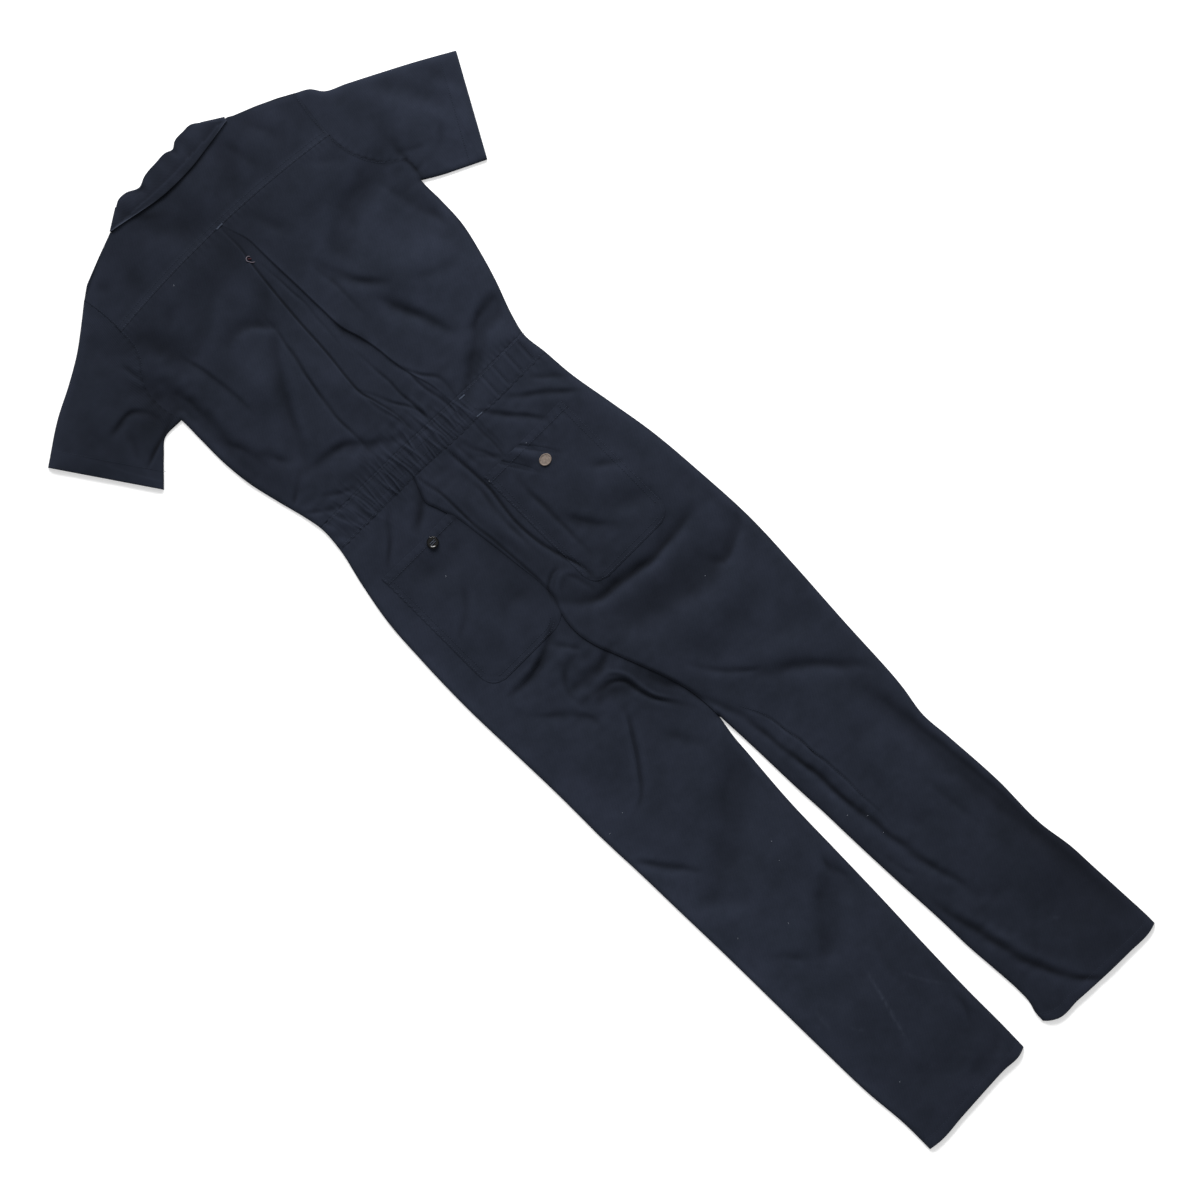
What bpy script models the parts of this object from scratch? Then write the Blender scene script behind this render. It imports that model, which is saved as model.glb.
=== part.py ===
"""A short-sleeved coverall lying flat on its front, each cut piece of cloth a closed wall of its own.

+X is the wearer's right, +Y is towards the collar and +Z is up, with the floor at z = 0.
All sizes are in millimetres until solid() turns them to metres.
The front pieces lie on the floor. The back pieces lie on them and share one height, back_top(x, y).
"""

import math
from collections import namedtuple

import bmesh
import bpy
import numpy as np

MM = 0.001
OBJECT_NAME = "short_sleeved_coverall"


def table(columns, *rows):
    """A short table as a dict of its named columns, sorted by the first one."""
    values = np.array(sorted(rows), float).T
    return dict(zip(columns.split(), values))


# ---------------------------------------------------------------- sizes

# Cloth
CLOTH = 1.2                 # wall of one layer of twill
COLLAR_CLOTH = 1.4          # the collar is two layers pressed together
GAP = 0.3                   # clear space at a seam and between layers
HALF_GAP = GAP / 2
LAYER = CLOTH + GAP         # how far one layer lies above the next

# How the back rises from the edge where it meets the front
EDGE_TOP = CLOTH + LAYER
EDGE_RISE, EDGE_REACH = 2.4, 14.0
BODY_RISE, BODY_REACH = 1.2, 70.0

# The front lies on the collar's front falls, which are under it above this y and within this x
COLLAR_LIFT = COLLAR_CLOTH + GAP
COLLAR_UNDER_Y, COLLAR_UNDER_X, COLLAR_UNDER_SLOPE = 597.0, 122.0, 18.0

# The fronts lap at the centre, the right one below, down to the end of the fly
CENTRE_LAP = 15.0
CENTRE_RISE_FROM, CENTRE_RISE_TO = -36.0, -18.0
FLY_END_Y, FLY_TAPER = 60.0, 40.0

# The right seat laps over the left one at the centre back
SEAT_LAP = 12.0
SEAT_LIFT, SEAT_LIFT_AT_WAIST = 3.3, 2.4
SEAT_LIFT_FLAT, SEAT_LIFT_REACH = 16.0, 50.0
SEAT_FOLD_DEPTH, SEAT_FOLD_WIDTH = 2.4, 5.0

WAIST_LOW, WAIST_HIGH = 261.0, 298.5
CROTCH_X, CROTCH_Y = 8.0, -205.0
HEM_Y, HEM_BEND_FROM = -757.5, -640.0
HEM_INNER_RISE, HEM_OUTER_DROP = 5.0, 3.0
SHOULDER_X = 178.5

# Sides of the body between the armpits and the crotch
BODY = table(
    "y left right",
    (540, -205, 219), (513, -200, 214), (480, -200, 214), (440, -200, 212), (400, -196, 203),
    (360, -187, 191), (320, -177, 176), (298, -173, 170), (262, -175, 173), (220, -185, 176),
    (160, -196, 186), (100, -200, 196), (20, -202, 203), (-60, -200, 207), (-140, -198, 204),
    (-205, -198, 200),
)
LEGS = {
    "left": table(
        "y outer inner",
        (-205, -198, 7), (-260, -196, 2), (-340, -194, -4), (-420, -192, -6), (-500, -191, -8),
        (-580, -190, -11), (-660, -188, -13), (-720, -183, -13), (-765, -183, -14),
    ),
    "right": table(
        "y outer inner",
        (-205, 200, 9), (-260, 197, 11), (-340, 192, 14), (-380, 186, 16), (-420, 189, 17),
        (-500, 194, 20), (-580, 194, 24), (-620, 200, 24), (-660, 202, 27), (-720, 205, 28),
        (-765, 205, 32),
    ),
}

# Back armhole seams, from the armpit to the shoulder
ARMHOLES = {
    "left": table(
        "y x",
        (513, -200), (535, -205), (555, -206), (572, -203), (585, -196), (603, -183), (643, -176),
        (670, -177), (700, -181),
    ),
    "right": table(
        "y x",
        (513, 214), (524, 218), (537, 219), (549, 213), (560, 199), (577, 186), (608, 175.5),
        (640, 174), (670, 176), (697, 181),
    ),
}
ARMPIT_Y = 513.0
ARMHOLE_ROWS = (ARMPIT_Y, 517, 528, 540, 552, 564, 576, 590, 606, 624)
# The front armholes are straight between these rows; x is away from the centre
FRONT_ARMHOLE = table("y x", (560, 190), (597, 178), (641, 175))

# A sleeve's clearance from its armhole, and how far its lower face turns up at its two edges
SLEEVE_GAP, SLEEVE_TURN = 0.5, 0.5
# Sleeve outlines: under the arm from the armpit to the hem, and over it from the shoulder to the hem
SLEEVE_UNDER = {
    "left": [(-200, 513), (-231, 511), (-244, 499), (-275, 468)],
    "right": [(214, 513), (236, 500), (262, 487), (289, 474)],
}
SLEEVE_OVER = {
    "left": [(-181, 700), (-205, 681), (-232, 661), (-266, 641), (-305, 621), (-356, 587)],
    "right": [(181, 697), (204, 682), (232, 662), (272, 641), (310, 621), (356, 595)],
}

# The raised edge of the right seat at the centre back, and the fold beside it that runs on down the leg
SEAT = table(
    "y edge fold",
    (262, -50, 4), (248, -50, 5), (231, -59, 6), (216, -56, 7), (188, -46, 6), (141, -40, 2),
    (98, -33, 5), (60, -30, 17), (39, -31, 22), (17, -39, 24), (-12, -42, 18), (-38, -37, 10),
    (-64, -27, 9), (-98, -14, 14), (-128, -3, 20), (-157, 6, 26), (-180, 9, 27), (-205, 9, 27),
)
LEG_FOLD = table(
    "y x",
    (-205, 27), (-234, 33), (-281, 39), (-340, 46), (-426, 52), (-476, 61), (-522, 73), (-600, 82),
    (-765, 96),
)

# The inverted pleat down the upper back: its two folds and its depth
PLEAT = table(
    "y left right depth",
    (299, -14, 44, 0.3), (330, -10, 55, 1.0), (360, -18, 36, 1.6), (390, -24, 31, 2.0),
    (430, -17, 24, 2.0), (480, -13, 18, 2.0), (560, -9, 16, 1.9), (600, -4, 13, 1.2), (646, -3, 4, 0.2),
)
PLEAT_FOLD_WIDTH = 3.0

# The yoke's lower seam is a shallow arc: its highest point, and its fall per square millimetre from it
YOKE_SEAM_X, YOKE_SEAM_Y, YOKE_SEAM_FALL = -40.0, 647.0, 0.00035
# The yoke's upper edge, along the shoulders and the back of the neck
SHOULDER = table(
    "x y",
    (-181, 699.5), (-165, 711), (-130, 724), (-96, 735.5), (-50, 733.5), (0, 732.5), (50, 733),
    (95, 734.5), (134, 720), (160, 708.5), (181, 697),
)

# Collar at the back: the lower edge of its fall, and its roll line, which is puckered in two places
FALL_EDGE = table("x y", (-100, 736.5), (-56, 729), (-25, 722.5), (15, 721), (51, 725), (97, 732))
ROLL = table(
    "x y",
    (-72, 754.5), (-62, 758), (-50, 757), (-34, 750.5), (-22, 755), (0, 757), (18, 757),
    (26, 754.5), (34, 759), (50, 760.5), (64, 759.5), (72, 756),
)
# The fronts stay this far outside the collar's neck seam, and meet the shoulder at these points
NECK_CLEARANCE = (0.45, -0.35)
FRONT_SHOULDER = [(115, 727.2), (140, 717.4)]
# Collar at the front, from the side of the neck (0) to the centre (1): neck seam, roll line, fall's edge
COLLAR_FRONT = table(
    "share neck_x neck_y roll_x roll_y edge_x edge_y",
    (0.00, 95.5, 735, 72, 756, 100, 736),
    (0.25, 90.0, 708, 67, 737, 108, 702),
    (0.50, 64.0, 673, 48, 703, 99, 662),
    (0.75, 31.0, 657, 25, 686, 76, 630),
    (1.00, 2.0, 653, 2, 679, 42, 606),
)
COLLAR_DROOP = 2.5          # how far the stand sinks towards its roll at the back
COLLAR_SIDE_LEAN = (0.66, 0.75)

# The largest folds: from one end to the other, half width, and height of the ridge (below 0, a trough)
Fold = namedtuple("Fold", "x0 y0 x1 y1 width rise")
FOLDS = [
    Fold(-18, 15, 60, -10, 9, -3.2),
    Fold(60, -10, 148, -9, 11, -3.2),
    Fold(-52, 15, -142, -10, 11, -2.0),
    Fold(0, -50, 204, -50, 26, -1.6),
    Fold(-88, -60, -34, -132, 10, 2.6),
    Fold(187, 562, 66, 517, 20, -2.0),
    Fold(176, 345, 76, 300, 12, -2.0),
    Fold(-117, 350, -66, 334, 10, -2.0),
    Fold(61, 500, 108, 375, 11, -1.6),
    Fold(-46, 506, -66, 344, 8, -1.6),
    Fold(166, -327, 188, -621, 14, -1.8),
    Fold(36, -560, 100, -745, 8, -1.8),
    Fold(-31, -263, -104, -340, 16, -1.4),
]

# Elastic in the back waistband
ELASTIC_LEFT, ELASTIC_RIGHT, ELASTIC_FADE = -112.0, 64.0, 20.0
GATHER_COLUMNS, GATHER_HEIGHT, GATHER_RISE = 31, 0.6, 0.5

# Trim on the back pockets
POCKET_TOP, POCKET_LOW = 202.0, 12.0
POCKET_LEFT_X, POCKET_RIGHT_X = -163.0, 145.0
BUTTON_X, BUTTON_Y = -88.5, 190.5
BUTTON_RADIUS, BUTTON_RIM, BUTTON_FACE = 7.5, 2.6, 1.7
BUTTON_HOLE_RADIUS, BUTTON_HOLE_RING = 1.0, 2.2
PATCH_X, PATCH_Y, PATCH_WALL = 80.0, 165.0, 1.0
PATCH_LONG, PATCH_SHORT = 8.5, 7.2

TWILL = (0.019, 0.022, 0.034)
BUTTON_PLASTIC = (0.010, 0.010, 0.012)
PATCH_CLOTH = (0.21, 0.17, 0.16)


# ---------------------------------------------------------------- curves

def smooth(at, places, values):
    """A curve through the values: its slope at each is the one between the value's two neighbours."""
    at = np.clip(np.asarray(at, float), places[0], places[-1])
    slopes = np.gradient(values, places)
    i = np.clip(np.searchsorted(places, at, side="right") - 1, 0, len(places) - 2)
    step = places[i + 1] - places[i]
    t = (at - places[i]) / step
    from_start = (1 + 2 * t) * (1 - t) ** 2 * values[i] + t * (1 - t) ** 2 * step * slopes[i]
    from_end = t * t * (3 - 2 * t) * values[i + 1] - t * t * (1 - t) * step * slopes[i + 1]
    return from_start + from_end


def read(source, column, at):
    """The named column of a table as a smooth function of the table's first column."""
    return smooth(at, next(iter(source.values())), source[column])


def ramp(at, low, high):
    """0 up to low, 1 from high on, and a smooth S between them; low may be the larger."""
    t = np.clip((np.asarray(at, float) - low) / (high - low), 0, 1)
    return t * t * (3 - 2 * t)


def along(points, share):
    """Points at shares (0 to 1) of the length of a curve through the given points."""
    points = np.asarray(points, float)
    run = np.concatenate([[0], np.cumsum(np.hypot(*np.diff(points, axis=0).T))])
    run /= run[-1]
    return np.stack([smooth(share, run, points[:, 0]), smooth(share, run, points[:, 1])], axis=-1)


def yoke_seam(x):
    """The y of the yoke's lower seam."""
    return YOKE_SEAM_Y - YOKE_SEAM_FALL * (x - YOKE_SEAM_X) ** 2


def body_edge(side, y):
    """The back's edge at y: the body's side, and the armhole seam above it."""
    armhole = ARMHOLES[side]
    return np.where(y > ARMPIT_Y, read(armhole, "x", y), read(BODY, side, y))


def leg_edges(side, y):
    """Outer edge of one half from waist to hem, and the inner edge of its leg below the crotch."""
    outer = np.where(y > CROTCH_Y, read(BODY, side, y), read(LEGS[side], "outer", y))
    return outer, read(LEGS[side], "inner", y)


def outline():
    """The garment's edge seen from above, as one closed line."""
    share = np.linspace(0, 1, 12)

    def side_line(source, column):
        y = np.linspace(source["y"][0], min(source["y"][-1], ARMPIT_Y), 24)
        return np.stack([read(source, column, y), y], axis=-1)

    return np.concatenate([
        side_line(LEGS["right"], "outer"),
        side_line(BODY, "right"),
        along(SLEEVE_UNDER["right"], share),
        along(SLEEVE_OVER["right"], share[::-1]),
        np.stack([ROLL["x"], ROLL["y"]], axis=-1)[::-1],
        along(SLEEVE_OVER["left"], share),
        along(SLEEVE_UNDER["left"], share[::-1]),
        side_line(BODY, "left")[::-1],
        side_line(LEGS["left"], "outer")[::-1],
        side_line(LEGS["left"], "inner"),
        side_line(LEGS["right"], "inner")[::-1],
    ])


OUTLINE = outline()


# ---------------------------------------------------------------- heights

def line_distance(x, y, start, end):
    """Distance from each point to a straight line between two points, and how far along it the foot lies."""
    dx, dy = end[0] - start[0], end[1] - start[1]
    share = ((x - start[0]) * dx + (y - start[1]) * dy) / max(dx * dx + dy * dy, 1e-9)
    near = np.clip(share, 0, 1)
    return np.hypot(x - start[0] - near * dx, y - start[1] - near * dy), share


def edge_distance(x, y):
    """Distance from each point to the garment's edge."""
    nearest = np.full(np.shape(x), np.inf)
    for start, end in zip(OUTLINE, np.roll(OUTLINE, -1, axis=0)):
        nearest = np.minimum(nearest, line_distance(x, y, start, end)[0])
    return nearest


def collar_lift(x, y):
    """How far the front lies above the floor, where the collar's front falls are under it."""
    across = ramp(np.abs(x), COLLAR_UNDER_X + COLLAR_UNDER_SLOPE, COLLAR_UNDER_X)
    return COLLAR_LIFT * across * ramp(y, COLLAR_UNDER_Y - COLLAR_UNDER_SLOPE, COLLAR_UNDER_Y)


def fold_height(x, y):
    """The largest folds: each a soft ridge or trough that fades at both ends."""
    height = np.zeros(np.shape(x))
    for fold in FOLDS:
        away, share = line_distance(x, y, (fold.x0, fold.y0), (fold.x1, fold.y1))
        ends = ramp(share, -0.15, 0.15) * ramp(share, 1.15, 0.85)
        height += fold.rise * np.exp(-(away / fold.width) ** 2) * ends
    return height


def back_lowest(x, y):
    """The least height of the back layer's upper face, clear of the front and of its lap."""
    return EDGE_TOP + collar_lift(x, y) + LAYER * ramp(y, 0, 20) * ramp(x, -60, -42) * ramp(x, 40, 20)


def back_top(x, y):
    """Height of the back layer's upper face: round up from the edge, fuller inside, with the folds."""
    away = edge_distance(x, y)
    turn = np.clip(away / EDGE_REACH, 0, 1)
    height = EDGE_TOP + collar_lift(x, y) + EDGE_RISE * np.sqrt(1 - (1 - turn) ** 2)
    height += BODY_RISE * (1 - np.exp(-away / BODY_REACH)) + fold_height(x, y)
    return np.maximum(height, back_lowest(x, y) + 0.05)


def front_top(side, x, y):
    """Height of the front layer's upper face, the left front raised where it lies on the right one."""
    height = CLOTH + collar_lift(x, y)
    if side == "left":
        lap = ramp(x, CENTRE_RISE_FROM, CENTRE_RISE_TO) * ramp(y, FLY_END_Y - 35, FLY_END_Y - 5)
        height = height + LAYER * lap
    return height


def seat_lift(x, y):
    """How far the right seat is raised at its lapped edge, fading to the right and down the leg."""
    away = x - read(SEAT, "edge", y)
    most = SEAT_LIFT + (SEAT_LIFT_AT_WAIST - SEAT_LIFT) * ramp(y, 225, 260)
    return most * ramp(away, SEAT_LIFT_REACH, SEAT_LIFT_FLAT) * ramp(y, -275, -205)


# ---------------------------------------------------------------- solids

def material(name, colour, roughness):
    """A plain finish for one kind of material."""
    made = bpy.data.materials.new(name)
    made.use_nodes = True
    shader = made.node_tree.nodes["Principled BSDF"]
    shader.inputs["Base Color"].default_value = (*colour, 1)
    shader.inputs["Roughness"].default_value = roughness
    shader.inputs["Metallic"].default_value = 0
    made.diffuse_color = (*colour, 1)
    return made


def solid(name, points, faces):
    """A twill object from points in millimetres and the faces that close them, turned outwards."""
    mesh = bpy.data.meshes.new(name)
    mesh.from_pydata((np.asarray(points) * MM).tolist(), [], faces)
    form = bmesh.new()
    form.from_mesh(mesh)
    bmesh.ops.recalc_face_normals(form, faces=form.faces)
    form.to_mesh(mesh)
    form.free()
    mesh.materials.append(material(name, TWILL, 0.85))
    PARTS.objects.link(bpy.data.objects.new(name, mesh))


def wall(name, outer, inner, round_about=False, turned=(), cut=()):
    """A wall between two grids of points, split along the same diagonals and closed at its rims.

    round_about joins the last column to the first. Each cell (row, column) is split from its first corner to
    its third, or the other way if it is turned. A cut cell keeps only the first of its two triangles.
    """
    rows, columns = outer.shape[:2]
    triangles = []
    for i in range(rows - 1):
        for j in range(columns if round_about else columns - 1):
            right = (j + 1) % columns
            a, b = i * columns + j, i * columns + right
            c, d = b + columns, a + columns
            pair = [(a, b, d), (b, c, d)] if (i, j) in turned else [(a, b, c), (a, c, d)]
            triangles += pair[:1] if (i, j) in cut else pair
    edges = {(t[k], t[(k + 1) % 3]) for t in triangles for k in range(3)}
    below = rows * columns
    faces = triangles + [(c + below, b + below, a + below) for a, b, c in triangles]
    for a, b in sorted(edges):
        if (b, a) not in edges:
            faces += [(b, a, a + below), (b, a + below, b + below)]
    points = np.concatenate([outer.reshape(-1, 3), inner.reshape(-1, 3)])
    used = sorted({p for face in faces for p in face})
    number = {p: k for k, p in enumerate(used)}
    solid(name, points[used], [tuple(number[p] for p in face) for face in faces])


def layer(name, x, y, top, **options):
    """A panel one cloth thick, its upper face at the given heights and its lower face straight below.

    The wall is measured straight down, so a seam's two sides stay parallel and their gap stays open.
    """
    wall(name, np.stack([x, y, top], -1), np.stack([x, y, top - CLOTH], -1), **options)


def between(start, end, shares):
    """Columns at shares of the way from one edge to another."""
    return [start + (end - start) * share for share in shares]


# ---------------------------------------------------------------- back

LEG_ROWS = np.array([
    WAIST_LOW - GAP, 244, 224, POCKET_TOP, 180, 154, 126, 98, 69, 40, POCKET_LOW, 1, -9, -20, -42, -72, -104,
    -140, -176, CROTCH_Y, -240, -290, -350, -420, -490, -560, -640, -710, HEM_Y,
])
POCKET_FIRST, POCKET_LAST = list(LEG_ROWS).index(POCKET_TOP), list(LEG_ROWS).index(POCKET_LOW)


def bend_to_hem(x, y, inner, outer):
    """Moves the lowest rows to the hem line, which drops a little towards the outer seam."""
    share = (x - inner) / (outer - inner)
    return y + ramp(y, HEM_BEND_FROM, HEM_Y) * (HEM_INNER_RISE - (HEM_INNER_RISE + HEM_OUTER_DROP) * share)


def seat_and_pocket(side, x, y, top, start, end):
    """The panel, and its patch pocket from the same points, moved out, with its two lower corners cut off."""
    low, last = POCKET_LAST - 1, end - 1
    layer(f"back_leg_{side}", x, y, top, turned=[(low, last)])
    part = np.s_[POCKET_FIRST:POCKET_LAST + 1, start:end + 1]
    low, last = low - POCKET_FIRST, last - start
    layer(f"back_pocket_{side}", x[part], y[part], top[part] + LAYER,
          turned=[(low, last)], cut=[(low, 0), (low, last)])
    return x, y, top


def back_leg_left():
    """Seat and leg in one, reaching under the right seat at the centre back."""
    y = LEG_ROWS[:, None]
    outer, inner = leg_edges("left", y)
    tuck = SEAT_LAP - (SEAT_LAP + 2) * ramp(y, -110, CROTCH_Y)
    inner = np.where(y > CROTCH_Y, read(SEAT, "edge", y) + tuck, inner)
    pocket_outer = np.full_like(y, POCKET_LEFT_X)
    pocket_inner = inner - 6
    x = np.concatenate([
        outer, outer + 3, outer + 9, outer + 18, pocket_outer,
        *between(pocket_outer, pocket_inner, (0.22, 0.44, 0.66, 0.88)), pocket_inner, inner,
    ], axis=1)
    y = bend_to_hem(x, np.broadcast_to(y, x.shape), inner, outer)
    return seat_and_pocket("left", x, y, back_top(x, y), 4, 9)


def back_leg_right():
    """Seat and leg in one, its centre back edge raised over the left seat, with the fold beside it."""
    y = LEG_ROWS[:, None]
    outer, inner = leg_edges("right", y)
    inner = np.where(y > CROTCH_Y, read(SEAT, "edge", y), inner)
    fold = np.where(y > CROTCH_Y, read(SEAT, "fold", y), read(LEG_FOLD, "x", y))
    pocket_inner, pocket_outer = fold + 7, np.full_like(y, POCKET_RIGHT_X)
    x = np.concatenate([
        inner, inner + 4, (inner + fold) / 2, fold - 5, fold + 1, pocket_inner,
        *between(pocket_inner, pocket_outer, (0.25, 0.5, 0.75)), pocket_outer,
        outer - 18, outer - 9, outer - 3, outer,
    ], axis=1)
    y = bend_to_hem(x, np.broadcast_to(y, x.shape), inner, outer)
    depth = SEAT_FOLD_DEPTH * (ramp(y, 20, 60) + ramp(y, CROTCH_Y, -240) * ramp(y, -560, -500))
    top = back_top(x, y) - depth * np.exp(-((x - fold - 1) / SEAT_FOLD_WIDTH) ** 2)
    top = np.maximum(top, back_lowest(x, y)) + seat_lift(x, y)
    return seat_and_pocket("right", x, y, top, 5, 9)


def back_waistband():
    """The casing of the elastic, drawn into small gathers between the two ends of the elastic."""
    y = np.array([WAIST_LOW + HALF_GAP, WAIST_LOW + 12, WAIST_HIGH - 12, WAIST_HIGH - HALF_GAP])[:, None]
    left, right = body_edge("left", y), body_edge("right", y)
    gathers = np.linspace(ELASTIC_LEFT, ELASTIC_RIGHT, GATHER_COLUMNS)[None, :] + 0 * y
    x = np.concatenate([left, left + 3, left + 9, left + 18, left + 38, gathers,
                        right - 72, right - 36, right - 18, right - 9, right - 3, right], axis=1)
    y = np.broadcast_to(y, x.shape)
    drawn = ramp(x, ELASTIC_LEFT - ELASTIC_FADE, ELASTIC_LEFT)
    drawn *= ramp(x, ELASTIC_RIGHT + ELASTIC_FADE, ELASTIC_RIGHT)
    gather = GATHER_HEIGHT * np.cos(np.arange(x.shape[1]) * math.pi) * (1 + 0.4 * np.sin(x * 0.11))
    layer("back_waistband", x, y, back_top(x, y) + (GATHER_RISE + gather) * drawn)


def upper_back():
    """From the waist to the yoke, with the inverted pleat between two folds down the middle."""
    rows = [WAIST_HIGH + GAP, 310, 328, 350, 376, 404, 436, 466, 492, *ARMHOLE_ROWS, YOKE_SEAM_Y]
    rows = np.array(rows)[:, None]
    left, right = body_edge("left", rows), body_edge("right", rows)
    fold_left, fold_right = read(PLEAT, "left", rows), read(PLEAT, "right", rows)
    half = PLEAT_FOLD_WIDTH / 2
    x = np.concatenate([
        left, left + 3, left + 9, left + 18, *between(left + 18, fold_left, (0.33, 0.67)),
        fold_left - half, fold_left + half, fold_right - half, fold_right + half,
        *between(fold_right, right - 18, (0.33, 0.67)), right - 18, right - 9, right - 3, right,
    ], axis=1)
    y = rows + ramp(rows, ARMHOLE_ROWS[-1], YOKE_SEAM_Y) * (yoke_seam(x) - HALF_GAP - YOKE_SEAM_Y)
    inside = ramp(x, fold_left - half, fold_left + half) * ramp(x, fold_right + half, fold_right - half)
    top = back_top(x, y) - read(PLEAT, "depth", rows) * inside
    layer("upper_back", x, y, np.maximum(top, back_lowest(x, y)))


def back_yoke():
    """From the yoke seam up to the shoulders and the neck."""
    across = np.array([0.03, 0.2, 0.37, 0.535, 0.7, 0.85, 0.94, 0.98, 1])
    across = np.concatenate([-across[::-1], [-0.12], across])[None, :]
    across = np.sort(across, axis=1)
    up = np.array([0, 0.3, 0.6, 0.85, 0.96, 1])[:, None]
    x = SHOULDER_X * across + 0 * up
    for _ in range(3):
        low = yoke_seam(x) + HALF_GAP
        y = low + (np.interp(x, SHOULDER["x"], SHOULDER["y"]) - low) * up
        x = SHOULDER_X * across + (body_edge("left", y) + SHOULDER_X) * ramp(across, -0.8, -1)
        x = x + (body_edge("right", y) - SHOULDER_X) * ramp(across, 0.8, 1)
    layer("back_yoke", x, y, back_top(x, y))


# ---------------------------------------------------------------- sleeves and collar

def sleeve(side):
    """A flattened tube from the armhole to the hem, open at both ends.

    A ring goes from the armpit over the back to the shoulder, then under the front to the armpit.
    Each face is a patch between the armhole, the hem, the line under the arm and the line over it.
    """
    sign = 1 if side == "right" else -1
    armhole = ARMHOLES[side]
    low, high = armhole["y"][0], armhole["y"][-1]
    over_y = np.array([*ARMHOLE_ROWS, 646, 672, high - 5, high])
    over_start = np.stack([read(armhole, "x", over_y), over_y], -1)
    under_y = np.array([high, high - 5, *FRONT_ARMHOLE["y"][::-1], *ARMHOLE_ROWS[1::-1]])
    front_y = np.concatenate([[low], FRONT_ARMHOLE["y"], [high]])
    front_x = np.concatenate([[over_start[0, 0]], sign * FRONT_ARMHOLE["x"], [over_start[-1, 0]]])
    under_start = np.stack([np.interp(under_y, front_y, front_x), under_y], -1)

    start = np.concatenate([over_start, under_start]) + (sign * SLEEVE_GAP, 0)
    share = (start[:, 1] - low) / (high - low)
    points = np.arange(share.size)
    last = over_y.size - 1
    is_over = points <= last

    # A Coons patch: the armhole blended into the hem, and the two lines under and over the arm into it
    run = np.array([0, 0.16, 0.36, 0.58, 0.8, 1])
    under, over = along(SLEEVE_UNDER[side], run)[:, None], along(SLEEVE_OVER[side], run)[:, None]
    s, t = share[:, None], run[:, None, None]
    flat = (1 - t) * start + t * (under[-1] + (over[-1] - under[-1]) * s) + (1 - s) * under + s * over
    flat -= (1 - t) * ((1 - s) * under[0] + s * over[0]) + t * ((1 - s) * under[-1] + s * over[-1])

    def face(flat, over_drop, under_rise):
        """The ring's points at their heights, the given distances inside the cloth's outer face."""
        x, y = flat[..., 0], flat[..., 1]
        height = np.where(is_over, back_top(x, y) - over_drop, collar_lift(x, y) + under_rise)
        return np.concatenate([flat, height[..., None]], axis=-1)

    inner = flat.copy()
    for corner, beside in ((0, 1), (-1, 1), (last, last - 1), (last + 1, last - 1)):
        way = flat[:, beside] - flat[:, corner]
        inner[:, corner] += CLOTH * way / np.linalg.norm(way, axis=-1, keepdims=True)
    turn_up = SLEEVE_TURN * ((points == last + 1) | (points == points[-1]))
    wall(f"sleeve_{side}", face(flat, 0, turn_up), face(inner, CLOTH, CLOTH), round_about=True)


def collar_front(share):
    """Neck seam, roll line and fall's edge of the right half of the collar's front, as x, y pairs."""
    return np.stack([read(COLLAR_FRONT, column, share) for column in list(COLLAR_FRONT)[1:]], -1)


FRONT_SHARES = np.linspace(0, 1, 7)     # stations from the side of the neck to the centre front


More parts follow.
